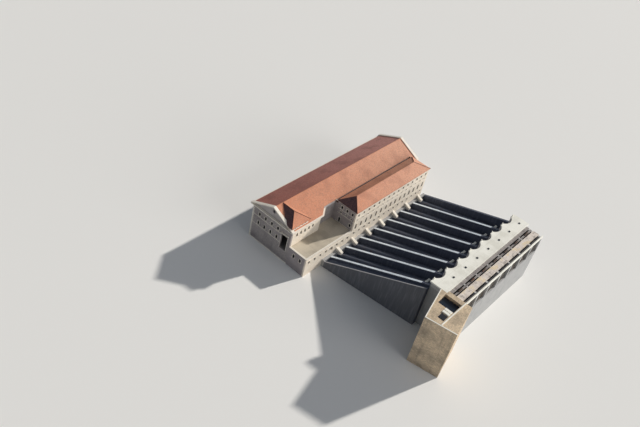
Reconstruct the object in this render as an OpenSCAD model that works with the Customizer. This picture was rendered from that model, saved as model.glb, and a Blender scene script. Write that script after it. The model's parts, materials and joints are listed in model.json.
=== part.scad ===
// Hydroelectric power station at 1:10: a long gabled machine hall with a hipped
// switch-house wing, a flat-roofed annex, a fan of penstock bays and a
// multiple-arch intake. 100 mm stand for 1 m. X runs along the hall from its far
// gable to its near gable, Y runs uphill to the intake, Z is up from the lowest
// footing. The outline is centred on the origin.

/* [Hall] */
// Length of the hall between the outer faces of its gables
hall_l = 9760; // [9600:20:9900]
// Half width of the hall, from the ridge to a pavilion's wall face
hall_half_w = 1243; // [1215:1:1260]
// How far the pavilions stand out beyond the wall between them
pavilion_out = 243; // [235:1:262]
// Thickness of the hall's walls
hall_wall_t = 100; // [80:2:110]
// Height of the ridges above the lowest footing
ridge_h = 2643; // [2600:1:2700]
// Pitch of the hall's roof in degrees
hall_pitch = 24.67; // [24:0.01:25]
// Vertical thickness of the hall's and tower's roofs
roof_t = 35; // [25:1:40]
// How far the hall's cornice stands out from the walls
cornice_out = 120; // [100:2:130]
// Height of each of the two steps of the hall's cornice
cornice_step_h = 35; // [25:1:40]
// How far the roof's edge stands out over the wall face
roof_over = 40; // [20:1:50]
// How far the roof's edge stands out over the wall between the pavilions
mid_over = 7; // [4:1:10]
// Height of the raking copings above the roof's plane
coping_t = 40; // [25:1:50]
// How far the raking copings lie on the gable walls
coping_bearing = 40; // [30:1:60]
// Depth of the lower step of the raking copings
rake_step_h = 50; // [35:1:60]
// Height of the ground floors above the lowest footing
ground_h = 650; // [620:5:680]
// Thickness of the floor slabs
floor_t = 30; // [20:1:40]

/* [Hall windows] */
// Distance from a gable's face to the first window column's middle
hall_margin = 280; // [260:2:320]
// Number of window columns along the hall
hall_bays = 24; // [20:1:24]
// Number of window columns on a gable
gable_bays = 5; // [3:2:5]
// Spacing of the window columns on the gables
gable_bay = 400; // [380:2:420]
// Height of the wall between the lower and the main windows
low_gap = 290; // [270:2:320]
// Height of the lower windows
low_win_h = 230; // [200:2:250]
// Height of the wall between the main and the attic windows
main_gap = 150; // [130:2:180]
// Height of the main windows
main_win_h = 210; // [190:2:230]
// Width of the lower and main windows
hall_win_w = 130; // [110:2:150]
// Height of the wall between the attic windows and the cornice
attic_head_gap = 9; // [5:1:20]
// Height of the attic windows
attic_win_h = 70; // [50:1:80]
// Width of the attic windows
attic_win_w = 90; // [70:1:110]
// How far the round gable window's centre lies below the ridge
oculus_down = 293; // [270:1:320]
// Radius of the round gable window
oculus_r = 80; // [60:1:90]
// Radius of the moulded ring round it
oculus_ring_r = 110; // [100:1:125]
// How far the moulded ring stands out
oculus_ring_out = 12; // [6:1:20]
// Thickness of every glazed window panel
pane_t = 8; // [5:1:12]

/* [Loading doorway] */
// Distance of the doorway's middle from the ridge line
door_y = 860; // [830:2:880]
// Width of the loading doorway
door_w = 400; // [360:2:420]
// Height of the loading doorway
door_h = 920; // [860:2:940]
// How far the hood stands out over the doorway
hood_out = 80; // [60:1:100]
// Thickness of the hood
hood_t = 26; // [18:1:34]
// How far the hood reaches past each side of the doorway
hood_side = 40; // [20:1:60]

/* [Pavilion] */
// Length of the near pavilion from its cornice corner to the near gable
pavilion_l = 2060; // [2020:2:2080]
// Slant of the near pavilion's end in degrees
pavilion_slant = 34.9; // [33:0.1:37]
// Distance of the attic tower's ridge from the near gable's face
tower_ridge_in = 515; // [500:1:530]
// Length of the tower's ridge from the hall's ridge
tower_ridge_l = 721; // [700:1:740]
// Pitch of the tower's roof in degrees
tower_pitch = 31.7; // [31:0.1:32.4]
// Thickness of the tower's attic walls
tower_wall_t = 60; // [50:1:70]
// Height of the tower's sills above the hall's roof
tower_sill_up = 38; // [33:1:48]
// Height of the wall above the tower's windows
tower_head_gap = 30; // [20:1:40]
// Number of the tower's windows
tower_bays = 4; // [2:1:4]
// Spacing of the tower's windows
tower_bay = 225; // [200:1:228]
// Number of window columns of the pavilion's front
pavilion_bays = 5; // [3:1:5]
// Spacing of the windows of the pavilion's front
pavilion_bay = 275; // [250:1:290]
// Distance of the pavilion's windows' middle from the near gable's face
pavilion_win_in = 955; // [930:1:980]

/* [Wing] */
// Distance of the wing's near end from the near gable's face
wing_near_in = 3290; // [3270:2:3310]
// Distance of the wing's far end from the far gable's face
wing_far_in = 340; // [320:2:400]
// Distance of the wing's and annex's front face from the pavilion's face
annex_w = 1097; // [1080:1:1120]
// Distance of the wing's ridge from its front face
wing_ridge_in = 583; // [575:1:592]
// Thickness of the wing's and annex's walls
wing_wall_t = 80; // [60:1:90]
// How far the wing's roof stands out over its walls
wing_eave = 30; // [27:1:40]
// Vertical thickness of the wing's roof
wing_roof_t = 45; // [40:1:50]
// Pitch of the wing's long roof slopes in degrees
wing_pitch = 32.3; // [31.5:0.1:33]
// Pitch of the wing's near hip in degrees
near_hip_pitch = 34.5; // [33:0.1:36]
// Pitch of the wing's far hip in degrees
far_hip_pitch = 25; // [24:0.1:27]
// How far the wing's cornice stands out
wing_cornice_out = 26; // [20:1:27]
// Height of each of the two steps of the wing's cornice
wing_cornice_h = 14; // [10:1:16]
// Width of the gutter's bearing under the wing's roof
gutter_bearing = 30; // [20:1:40]
// How far the gutter's edge lies below the hall's roof
gutter_down = 34; // [28:1:44]
// Thickness of the gutter's lips
gutter_lip = 5; // [3:1:8]
// Clearance between the wing's roof and the far pavilion's roof
roof_gap = 3; // [2:1:6]
// Depth of the gutter's trough
gutter_deep = 25; // [15:1:35]

/* [Wing windows] */
// Distance from a wing's end to the first window column's middle
wing_margin = 225; // [210:1:250]
// Number of the wing's window columns
wing_bays = 15; // [12:1:15]
// Height of the wall between the ground storey's and the tall windows
ground_gap = 190; // [180:1:196]
// Height of the ground storey's windows
ground_win_h = 150; // [130:1:170]
// Height of the wall between the tall and the small square windows
tall_gap = 200; // [180:1:220]
// Height of the tall windows
tall_win_h = 330; // [300:1:340]
// Height of the wall between the small square and the top windows
small_gap = 160; // [140:1:180]
// Side of the small square windows
small_win = 90; // [80:1:100]
// Height of the wall between the top windows and the roof
top_head_gap = 150; // [130:1:165]
// Height of the top windows
top_win_h = 170; // [140:1:175]
// Height of the landing window's sill above the tall windows' sills
landing_up = 90; // [60:1:120]
// Height of the landing window
landing_win_h = 190; // [160:1:220]
// Number of window columns on each end wall
end_bays = 3; // [1:2:3]
// Spacing of the window columns on the end walls
end_bay = 330; // [300:1:350]
// Width of the wing's other windows
wing_win_w = 125; // [110:1:140]
// Height of the first floor's surface
first_floor_h = 1010; // [990:1:1040]
// Height of the second floor's surface
second_floor_h = 1540; // [1500:1:1580]
// Height of the third floor's surface
third_floor_h = 1790; // [1770:1:1820]

/* [Annex] */
// Height of the annex roof's surface
annex_roof_h = 1035; // [1015:1:1045]
// Height of the annex walls
annex_wall_h = 1068; // [1060:1:1080]
// Thickness of the annex's wall coping
annex_coping_t = 14; // [8:1:20]
// How far the annex's coping stands out on each side
annex_coping_out = 10; // [4:1:16]
// Distance from the annex's ends to its first openings' middle
annex_margin = 245; // [230:1:270]
// Number of the annex's openings
annex_bays = 8; // [6:1:8]
// Spacing of the openings in the annex's near wall
annex_near_bay = 400; // [360:2:420]
// Height of the annex's openings
annex_win_h = 225; // [200:1:240]
// Width of the annex's openings
annex_win_w = 130; // [110:1:150]
// Width of the annex's doorway
annex_door_w = 220; // [180:1:240]
// Height of the annex's sills above the ground floor
annex_sill = 60; // [40:1:80]

/* [Penstock field] */
// Number of penstock bays
bays = 7; // [5:1:7]
// Distance of the field's middle from the far gable, at the foot
foot_mid_x = 4020; // [4000:1:4040]
// Distance of the field's middle from the far gable, at the head
head_mid_x = 4140; // [4120:1:4160]
// How much wider apart the dividing walls are at the foot than at the head
fan_widen = 140; // [120:1:155]
// Spacing of the dividing walls and buttresses at the head
head_pitch = 990; // [980:1:1000]
// Thickness of the thrust wall at the foot
thrust_t = 150; // [120:1:170]
// Distance of the buttress noses from the hall's ridge
nose_y = 7460; // [7400:2:7520]
// Thickness of the dividing walls and buttresses
rib_t = 130; // [110:1:150]
// Height of the dividing walls' tops at the foot
rib_foot_h = 400; // [390:1:440]
// How far the dividing walls' tops lie below the deck at the head
rib_head_down = 360; // [330:1:390]
// Height of the bed's surface at the foot
bed_foot_h = 40; // [30:1:60]
// How far the bed's surface lies below the deck at the head
bed_head_down = 920; // [900:1:940]
// Vertical thickness of the bed slabs
bed_t = 30; // [20:1:30]
// Outer radius of the penstock pipes
pipe_r = 100; // [90:1:105]
// Clear height between bed and pipe
pipe_clear = 50; // [35:1:60]
// Number of saddles under each pipe
saddles = 5; // [3:1:7]
// Length of a saddle along the pipe
saddle_l = 70; // [50:1:90]
// Width of a saddle across the pipe
saddle_w = 160; // [150:1:170]
// How far a saddle's top lies below its pipe's middle
saddle_down = 20; // [10:1:40]
// How far a collar stands out from its pipe
collar_out = 12; // [6:1:18]
// Length of a collar
collar_l = 40; // [24:1:60]
// Width of an anchor block
anchor_w = 150; // [130:1:170]
// Length of an anchor block in front of the thrust wall
anchor_l = 200; // [170:1:230]
// Height of an anchor block's upper edge
anchor_top_h = 580; // [560:1:620]
// Height of an anchor block's lower edge
anchor_low_h = 450; // [430:1:480]
// Clearance where pieces are fitted round a pipe
fit_gap = 0.3; // [0.1:0.1:0.5]

/* [Service slope] */
// Width of the service slope at its foot
slope_foot_w = 400; // [380:2:420]
// Width of the service slope at its head
slope_head_w = 230; // [210:2:240]
// Depth of the service slope below the dividing walls' tops
slope_down = 150; // [100:2:200]
// Thickness of the service slope's side wall
side_wall_t = 50; // [40:1:70]
// Height of the side wall above the service slope
side_wall_up = 100; // [60:2:140]

/* [Intake] */
// Height of the intake deck's surface
deck_h = 2770; // [2740:1:2800]
// Thickness of the intake deck
deck_t = 70; // [50:1:80]
// Distance of the deck's rear edge from the hall's ridge
deck_rear_y = 8330; // [8300:2:8380]
// How far the deck reaches past the outer buttresses
deck_side = 160; // [120:2:180]
// Rise of each arch of the arch wall
arch_rise = 220; // [200:1:240]
// Thickness of the arch wall
arch_t = 80; // [60:1:90]
// How far the deck's edge stands out over the arches
deck_lip = 12; // [6:1:20]
// Depth of the intake floor below the deck
intake_deep = 950; // [945:1:970]
// Thickness of the intake floor
sill_t = 100; // [80:1:120]
// Side of a deck hatch
hatch = 90; // [70:1:110]
// Height of a deck hatch
hatch_h = 30; // [20:1:40]
// Sideways shift of the hatches from the bays' middles
hatch_shift = 320; // [300:1:330]
// Distance of the hatches from the hall's ridge
hatch_y = 7990; // [7960:1:8040]

/* [Rack house] */
// Thickness of the rack piers
pier_t = 110; // [90:1:120]
// How far the rack piers' tops lie below the deck
pier_down = 130; // [120:1:150]
// Distance of the piers' canal face from the hall's ridge
canal_y = 9240; // [9220:2:9260]
// Thickness of the retaining wall under the racks
canal_wall_t = 80; // [60:1:100]
// Width of the walkway behind the deck
walk_w = 150; // [140:1:160]
// Thickness of the walkway and the rack platform
walk_t = 50; // [40:1:60]
// Distance of the rack platform's rear edge from the hall's ridge
platform_y = 8700; // [8690:1:8720]
// Width of the rack platform
platform_w = 320; // [300:1:330]
// Distance of the gates' middle from the hall's ridge
gate_y = 8590; // [8585:1:8600]
// Thickness of the gates
gate_t = 40; // [30:1:50]
// Thickness of the beam that carries the hoists
hoist_beam_t = 30; // [20:1:40]
// Width of the beam that carries the hoists
hoist_beam_w = 80; // [76:1:90]
// Length of a gate hoist
hoist_l = 300; // [260:2:340]
// Height of a gate hoist
hoist_h = 70; // [50:1:90]
// Width of a gate hoist
hoist_w = 70; // [50:1:74]
// Depth of the racks along the water
rack_d = 30; // [24:1:36]
// How far each rack leans toward the platform
rack_lean = 60; // [40:1:70]
// Height of the parapet beam above the piers
parapet_beam_h = 130; // [110:1:140]
// Thickness of the parapet beam
parapet_beam_t = 50; // [40:1:60]

/* [Abutment] */
// Length of the abutment from the deck's near end to its outer corner
abutment_l = 1930; // [1880:2:1960]
// How far the abutment's inner front corner lies before the deck's rear edge
abutment_nose = 320; // [280:2:360]
// How far the abutment's outer side leans toward the racks
abutment_lean = 280; // [240:2:320]
// How far the abutment's rear face falls back toward the racks
abutment_fall = 413; // [380:1:450]
// Distance of the abutment's front corner from the hall's ridge
abutment_front_y = 8500; // [8480:2:8540]
// Distance of the abutment's rear corner from the hall's ridge
abutment_rear_y = 9950; // [9900:2:9990]
// Length of the open chamber in the abutment
chamber_l = 670; // [640:2:700]
// Width of the open chamber in the abutment
chamber_w = 830; // [800:2:860]
// Depth of the open chamber in the abutment
chamber_deep = 500; // [400:5:600]
// Thickness of the wall between the chamber and the deck
chamber_wall_t = 100; // [80:1:120]

/* [Hidden] */

$fn = 48;
cut = 1;

// Hall
outer_half = hall_half_w + cornice_out;
hall_slope = tan(hall_pitch);
roof_half = hall_half_w + roof_over;
cornice_top_h = ridge_h - hall_slope * roof_half - roof_t;
gable_in_x = hall_l - hall_wall_t;
hall_mid_y = hall_half_w - pavilion_out;
hall_bay = (hall_l - 2 * hall_margin) / (hall_bays - 1);
pavilion_x = hall_l - pavilion_l;
hall_mid_eave_y = hall_mid_y + mid_over;
mid_x = hall_l / 2;
attic_sill_h = cornice_top_h - 2 * cornice_step_h - attic_head_gap - attic_win_h;
main_sill_h = attic_sill_h - main_gap - main_win_h;
low_sill_h = main_sill_h - low_gap - low_win_h;
oculus_h = ridge_h - oculus_down;
front_y = hall_half_w + annex_w;

// Wing
wing_near_x = hall_l - wing_near_in;
wing_far_x = wing_far_in;
wing_mid_x = (wing_near_x + wing_far_x) / 2;
wing_bay = (wing_near_x - wing_far_x - 2 * wing_margin) / (wing_bays - 1);
end_mid_y = (hall_half_w + front_y) / 2;
wing_ridge_y = front_y - wing_ridge_in;
wing_front_eave_y = front_y + wing_eave;
wing_span = wing_front_eave_y - wing_ridge_y;
wing_rear_eave_y = wing_ridge_y - wing_span;
wing_slope = tan(wing_pitch);
wing_eave_h = ridge_h - wing_slope * wing_span;
near_hip_run = (ridge_h - wing_eave_h) / tan(near_hip_pitch);
far_hip_run = (ridge_h - wing_eave_h) / tan(far_hip_pitch);
gutter_top_h = ridge_h - hall_slope * hall_mid_eave_y - roof_t - gutter_down;
gutter_low_h = gutter_top_h - 2 * gutter_deep;
top_sill_h = wing_eave_h - wing_roof_t - top_head_gap - top_win_h;
small_sill_h = top_sill_h - small_gap - small_win;
tall_sill_h = small_sill_h - tall_gap - tall_win_h;
ground_sill_h = tall_sill_h - ground_gap - ground_win_h;
landing_sill_h = tall_sill_h + landing_up;

// Annex
annex_mid_x = (wing_near_x + hall_l) / 2;
annex_bay = (wing_near_in - 2 * annex_margin) / (annex_bays - 1);
annex_door_k = 3;

// Tower
tower_ridge_x = hall_l - tower_ridge_in;
tower_half = tower_ridge_in + cornice_out;
tower_slope = tan(tower_pitch);
tower_eave_h = ridge_h - tower_slope * tower_half;
tower_far_x = tower_ridge_x - tower_ridge_in;
tower_sill_h = ridge_h - hall_slope * hall_half_w + tower_sill_up;
tower_win_h = tower_eave_h - roof_t - tower_head_gap - tower_sill_h;

// Penstock field and intake
foot_pitch = head_pitch + fan_widen;
rib_head_h = deck_h - rib_head_down;
bed_head_h = deck_h - bed_head_down;
sill_h = deck_h - intake_deep;
pier_h = deck_h - pier_down;
foot_y = front_y + thrust_t;
run = nose_y - foot_y;
arch_half = (head_pitch - rib_t) / 2;
arch_r = (arch_half * arch_half + arch_rise * arch_rise) / (2 * arch_rise);
arch_mid_y = nose_y + arch_rise - arch_r;
crown_y = nose_y + arch_rise;
ribs_half = bays * head_pitch / 2;
pipe_drop = pipe_r + pipe_clear;
intake_near_x = head_mid_x + ribs_half + rib_t / 2 + deck_side;
intake_far_x = head_mid_x - ribs_half - rib_t / 2 - deck_side;
abutment_x = intake_near_x + abutment_l;

// Centre of the outline, which is the origin
mid_y = (abutment_rear_y - outer_half) / 2;

// Window kinds: sill height, width, height, round head
attic_row = [attic_sill_h, attic_win_w, attic_win_h, false];
main_row = [main_sill_h, hall_win_w, main_win_h, true];
low_row = [low_sill_h, hall_win_w, low_win_h, true];
ground_row = [ground_sill_h, wing_win_w, ground_win_h, false];
tall_row = [tall_sill_h, wing_win_w, tall_win_h, true];
small_row = [small_sill_h, small_win, small_win, false];
top_row = [top_sill_h, wing_win_w, top_win_h, false];
annex_row = [ground_h + annex_sill, annex_win_w, annex_win_h - annex_sill, false];
annex_door_row = [ground_h, annex_door_w, annex_win_h, false];
annex_arch_row = [ground_h, annex_win_w, annex_win_h, true];
roof_door_row = [annex_roof_h, wing_win_w, tall_win_h, false];
landing_row = [landing_sill_h, wing_win_w, landing_win_h, false];
tower_row = [tower_sill_h, attic_win_w, tower_win_h, false];
wing_rows = [ground_row, tall_row, small_row, top_row];
upper_rows = [small_row, top_row];
hall_rows = [attic_row, main_row, low_row];

// Height of the hall roof's upper surface at a distance from the ridge
function roof_z(d) = ridge_h - hall_slope * abs(d);
// X of the near pavilion's slanted end, set in by a distance from the cornice
function pavilion_end(y, inset) =
    pavilion_x + (inset + cos(pavilion_slant) * (y - outer_half)) / sin(pavilion_slant);
// X of lane number i at the foot, at the head, and at any distance uphill
function foot_x(i) = foot_mid_x + (i - bays / 2) * foot_pitch;
function head_x(i) = head_mid_x + (i - bays / 2) * head_pitch;
function lane_x(i, y) = foot_x(i) + (head_x(i) - foot_x(i)) * (y - foot_y) / run;
// Height of a surface that falls evenly from the intake to the foot
function fall_z(y, foot_h, head_h) = foot_h + (head_h - foot_h) * (y - foot_y) / run;
function rib_z(y) = fall_z(y, rib_foot_h, rib_head_h);
function bed_z(y) = fall_z(y, bed_foot_h, bed_head_h);

// Moves from the hall's corner to the centred frame
module site() translate([-mid_x, -mid_y, 0]) children();

// Box between two corners
module block(a, b) translate(a) cube(b - a);

// Outline in the YZ plane, run along X
module along_x(x0, x1) translate([x0, 0, 0]) rotate([90, 0, 90]) linear_extrude(x1 - x0) children();

// Outline in the XZ plane, run along Y
module along_y(y0, y1) translate([0, y1, 0]) rotate([90, 0, 0]) linear_extrude(y1 - y0) children();

// Outline in plan, run up
module upright(z0, z1) translate([0, 0, z0]) linear_extrude(z1 - z0) children();

// One window or door shape, standing on its sill and centred through a wall
module opening(kind, t) {
    w = kind[1];
    spring = kind[3] ? kind[2] - w / 2 : kind[2];
    translate([0, 0, kind[0]]) {
        block([-w / 2, -t / 2, 0], [w / 2, t / 2, spring]);
        if (kind[3])
            translate([0, t / 2, spring]) rotate([90, 0, 0]) cylinder(r = w / 2, h = t);
    }
}

// Columns of openings along X, centred on the origin
module columns(rows, count, pitch, t)
    for (kind = rows, k = [0 : count - 1])
        translate([(k - (count - 1) / 2) * pitch, 0, 0]) opening(kind, t);

// Space under the hall's roof plane, raised by a height
module under_hall_roof(x0, x1, raise, half)
    along_x(x0, x1) polygon([
        [-half, 0], [half, 0], [half, roof_z(half) + raise],
        [0, ridge_h + raise], [-half, roof_z(half) + raise],
    ]);

// One slope of the hall's roof between two distances from the ridge
module roof_slab(x0, x1, d0, d1)
    along_x(x0, x1) polygon([
        [d0, roof_z(d0)], [d1, roof_z(d1)], [d1, roof_z(d1) - roof_t], [d0, roof_z(d0) - roof_t],
    ]);

// Wall along the hall whose top follows the roof's underside
module hall_long_wall(x0, x1, d0, d1)
    along_x(x0, x1) polygon([
        [d0, 0], [d1, 0], [d1, roof_z(d1) - roof_t], [d0, roof_z(d0) - roof_t],
    ]);

// Openings of the hall's river side
module hall_west_openings(t)
    translate([mid_x, -hall_half_w + hall_wall_t / 2, 0])
        columns(hall_rows, hall_bays, hall_bay, t);

// Openings of the near pavilion's front, above the annex
module pavilion_openings(t)
    translate([hall_l - pavilion_win_in, hall_half_w - hall_wall_t / 2, 0])
        columns([attic_row, main_row], pavilion_bays, pavilion_bay, t);

module gable_columns(rows, count, t)
    rotate([0, 0, 90]) columns(rows, count, gable_bay, t);

// Openings of a gable, with its wall's middle at X = 0
module gable_openings(t, with_door) {
    gable_columns([attic_row], gable_bays, t);
    if (with_door)
        translate([0, -gable_bay / 2, 0]) gable_columns([main_row, low_row], gable_bays - 1, t);
    else
        gable_columns([main_row, low_row], gable_bays, t);
    translate([-t / 2, 0, oculus_h]) rotate([0, 90, 0]) cylinder(r = oculus_r, h = t);
}

module loading_doorway(t)
    block([-t / 2, door_y - door_w / 2, ground_h], [t / 2, door_y + door_w / 2, ground_h + door_h]);

module gable_wall(with_door)
    difference() {
        under_hall_roof(-hall_wall_t / 2, hall_wall_t / 2, 0, hall_half_w);
        gable_openings(hall_wall_t + 2 * cut, with_door);
        if (with_door) loading_doorway(hall_wall_t + 2 * cut);
    }

// Moulded ring round the gable's round window
module oculus_ring()
    translate([hall_wall_t / 2, 0, oculus_h]) rotate([0, 90, 0]) difference() {
        cylinder(r = oculus_ring_r, h = oculus_ring_out);
        translate([0, 0, -cut]) cylinder(r = oculus_r, h = oculus_ring_out + 2 * cut);
    }

module near_gable_wall() color("lightgray") site()
    translate([hall_l - hall_wall_t / 2, 0, 0]) {
        gable_wall(true);
        oculus_ring();
    }

module far_gable_wall() color("lightgray") site()
    translate([hall_wall_t / 2, 0, 0]) rotate([0, 0, 180]) {
        gable_wall(false);
        oculus_ring();
    }

// Raking cornice and coping of a gable whose outer face is at X = 0, in two rakes
module raking_coping()
    difference() {
        union() {
            rake(-coping_bearing, cornice_out, coping_t, 0, outer_half);
            rake(0, cornice_out / 2, 0, -rake_step_h, hall_half_w);
        }
        block([-hall_l, -fit_gap / 2, 0], [hall_l, fit_gap / 2, deck_h]);
    }

// Band along both rakes of a gable between two heights over the roof's plane
module rake(x0, x1, high, low, half)
    difference() {
        under_hall_roof(x0, x1, high, half);
        under_hall_roof(x0 - cut, x1 + cut, low, half + cut);
    }

module near_gable_coping() color("ivory") site() translate([hall_l, 0, 0]) raking_coping();

module far_gable_coping() color("ivory") site() rotate([0, 0, 180]) raking_coping();

module hall_west_wall() color("lightgray") site()
    difference() {
        hall_long_wall(hall_wall_t, gable_in_x, -hall_half_w, -hall_half_w + hall_wall_t);
        hall_west_openings(hall_wall_t + 2 * cut);
    }

module hall_east_wall() color("lightgray") site()
    hall_long_wall(wing_far_x, pavilion_end(hall_mid_y, cornice_out),
        hall_mid_y - hall_wall_t, hall_mid_y);

// Plan of the near pavilion's wall
module pavilion_wall_plan() {
    in = cornice_out + hall_wall_t;
    end_x = pavilion_end(hall_mid_y, cornice_out);
    inner_y = hall_half_w - hall_wall_t;
    polygon([
        [gable_in_x, hall_half_w], [pavilion_end(hall_half_w, cornice_out), hall_half_w],
        [end_x, hall_mid_y], [end_x, hall_mid_y - hall_wall_t],
        [pavilion_end(hall_mid_y - hall_wall_t, in), hall_mid_y - hall_wall_t],
        [pavilion_end(inner_y, in), inner_y], [gable_in_x, inner_y],
    ]);
}

module near_pavilion_wall() color("ivory") site()
    difference() {
        intersection() {
            upright(0, ridge_h) pavilion_wall_plan();
            under_hall_roof(0, hall_l, -roof_t, hall_half_w);
        }
        pavilion_openings(hall_wall_t + 2 * cut);
    }

module far_pavilion_wall() color("ivory") site()
    hall_long_wall(hall_wall_t, wing_far_x, hall_half_w - hall_wall_t, hall_half_w);

module hall_floor() color("darkgray") site()
    upright(ground_h - floor_t, ground_h) {
        block_plan(hall_wall_t, gable_in_x, -hall_half_w + hall_wall_t, hall_mid_y - hall_wall_t);
        block_plan(hall_wall_t, wing_far_x, 0, hall_half_w - hall_wall_t);
        intersection() {
            block_plan(pavilion_end(0, 0), gable_in_x, 0, hall_half_w - hall_wall_t);
            polygon([
                [pavilion_end(0, cornice_out + hall_wall_t), 0],
                [pavilion_end(hall_half_w, cornice_out + hall_wall_t), hall_half_w],
                [gable_in_x, hall_half_w], [gable_in_x, 0],
            ]);
        }
    }

// Rectangle in plan between two X and two Y
module block_plan(x0, x1, y0, y1) translate([x0, y0]) square([x1 - x0, y1 - y0]);

module hall_roof_west() color("indianred") site()
    roof_slab(hall_wall_t, gable_in_x, -roof_half, 0);

module hall_roof_east() color("coral") site()
    roof_slab(hall_wall_t, gable_in_x, 0, hall_mid_eave_y);

module near_pavilion_roof() color("coral") site()
    intersection() {
        roof_slab(0, gable_in_x, hall_mid_eave_y, roof_half);
        upright(0, ridge_h) polygon([
            [pavilion_end(hall_mid_eave_y, cornice_out - roof_over), hall_mid_eave_y],
            [pavilion_end(roof_half, cornice_out - roof_over), roof_half],
            [gable_in_x, roof_half], [gable_in_x, hall_mid_eave_y],
        ]);
    }

module far_pavilion_roof() color("coral") site()
    roof_slab(hall_wall_t, wing_far_x - wing_eave - roof_gap, hall_mid_eave_y, roof_half);

// Plan of one step of the hall's cornice
module cornice_plan(out) {
    inset = cornice_out - out;
    difference() {
        block_plan(-out, hall_l + out, -hall_half_w - out, hall_half_w + out);
        block_plan(0, hall_l, -hall_half_w, hall_mid_y);
        polygon([
            [0, hall_half_w], [wing_far_x, hall_half_w], [wing_far_x, 0], [0, 0],
        ]);
        polygon([
            [wing_far_x, 0], [wing_far_x, outer_half + cut],
            [pavilion_end(outer_half + cut, inset), outer_half + cut],
            [pavilion_end(hall_mid_y, inset), hall_mid_y], [pavilion_end(hall_mid_y, inset), 0],
        ]);
        polygon([
            [pavilion_end(hall_mid_y - cut, cornice_out), hall_mid_y - cut],
            [pavilion_end(hall_half_w, cornice_out), hall_half_w],
            [hall_l, hall_half_w], [hall_l, hall_mid_y - cut],
        ]);
    }
}

// Fine joints where the cornice's lengths meet
module cornice_joints() {
    corner_x = pavilion_end(hall_half_w, cornice_out);
    block_plan(-fit_gap, 0, -outer_half - cut, outer_half + cut);
    block_plan(hall_l, hall_l + fit_gap, -outer_half - cut, outer_half + cut);
    polygon([
        [corner_x, hall_half_w - cut], [corner_x + fit_gap, hall_half_w - cut],
        [pavilion_x + fit_gap, outer_half + cut], [pavilion_x, outer_half + cut],
    ]);
}

module cornice_step(out, low)
    upright(low, cornice_top_h) difference() {
        cornice_plan(out);
        cornice_joints();
    }

module hall_cornice() color("white") site() {
    cornice_step(cornice_out / 2, cornice_top_h - 2 * cornice_step_h);
    cornice_step(cornice_out, cornice_top_h - cornice_step_h);
}

// Hipped form of the tower's roof, lowered by a height
module tower_hip(drop) {
    low = tower_eave_h - roof_t - drop;
    x0 = tower_ridge_x - tower_half;
    x1 = tower_ridge_x + tower_half;
    intersection() {
        along_y(0, roof_half) polygon([
            [x0, tower_eave_h - drop], [tower_ridge_x, ridge_h - drop], [x1, tower_eave_h - drop],
            [x1, low], [x0, low],
        ]);
        along_x(x0, x1) polygon([
            [0, low], [roof_half, low], [roof_half, tower_eave_h - drop],
            [tower_ridge_l, ridge_h - drop], [0, ridge_h - drop],
        ]);
    }
}

// Space that the hall's own roof and near coping take up
module hall_top() {
    under_hall_roof(-cut, hall_l, 0, outer_half + cut);
    under_hall_roof(hall_l - coping_bearing - fit_gap, hall_l + outer_half, coping_t + fit_gap,
        outer_half + cut);
}

module tower_roof() color("sandybrown") site()
    difference() {
        tower_hip(0);
        tower_hip(roof_t);
        hall_top();
    }

module tower_walls() color("ivory") site()
    difference() {
        intersection() {
            upright(0, ridge_h) difference() {
                block_plan(tower_far_x, hall_l, 0, hall_half_w);
                block_plan(tower_far_x + tower_wall_t, hall_l - tower_wall_t, -cut,
                    hall_half_w - tower_wall_t);
            }
            union() {
                tower_hip(roof_t);
                block([0, 0, 0], [hall_l, hall_half_w, tower_eave_h - 2 * roof_t]);
            }
        }
        hall_top();
        tower_openings(tower_wall_t + 2 * cut);
    }

// Windows of the tower's front
module tower_openings(t)
    translate([tower_ridge_x, hall_half_w - tower_wall_t / 2, 0])
        columns([tower_row], tower_bays, tower_bay, t);

module hall_windows() color("darkslategray") site() {
    hall_west_openings(pane_t);
    pavilion_openings(pane_t);
    tower_openings(pane_t);
}

module gable_windows() color("darkslategray") site() {
    translate([hall_l - hall_wall_t / 2, 0, 0]) gable_openings(pane_t, true);
    translate([hall_wall_t / 2, 0, 0]) gable_openings(pane_t, false);
}

module door_hood() color("white") site()
    block([hall_l, door_y - door_w / 2 - hood_side, ground_h + door_h],
        [hall_l + hood_out, door_y + door_w / 2 + hood_side, ground_h + door_h + hood_t]);

// Space under the wing's hipped roof, lowered by a height
module under_wing_roof(drop, low) {
    x0 = wing_far_x - wing_eave;
    x1 = wing_near_x + wing_eave;
    intersection() {
        along_x(x0, x1) polygon([
            [wing_rear_eave_y, low], [wing_front_eave_y, low],
            [wing_front_eave_y, wing_eave_h - drop], [wing_ridge_y, ridge_h - drop],
            [wing_rear_eave_y, wing_eave_h - drop],
        ]);
        along_y(wing_rear_eave_y, wing_front_eave_y) polygon([
            [x0, low], [x1, low], [x1, wing_eave_h - drop], [x1 - near_hip_run, ridge_h - drop],
            [x0 + far_hip_run, ridge_h - drop], [x0, wing_eave_h - drop],
        ]);
    }
}

module wing_roof() color("coral") site()
    difference() {
        under_wing_roof(0, wing_eave_h - wing_roof_t);
        under_wing_roof(wing_roof_t, wing_eave_h - 2 * wing_roof_t);
    }

module wing_front_openings(t)
    translate([wing_mid_x, front_y - wing_wall_t / 2, 0]) columns(wing_rows, wing_bays, wing_bay, t);

module wing_front_wall() color("ivory") site()
    difference() {
        intersection() {
            block([wing_far_x, front_y - wing_wall_t, 0], [wing_near_x, front_y, ridge_h]);
            under_wing_roof(wing_roof_t, 0);
        }
        wing_front_openings(wing_wall_t + 2 * cut);
    }

// Openings of the wing's end walls, with the wall's middle at X = 0
module wing_near_windows(t)
    translate([0, end_mid_y, 0]) rotate([0, 0, 90]) {
        columns(upper_rows, end_bays, end_bay, t);
        translate([end_bay, 0, 0]) opening(landing_row, t);
    }

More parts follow.
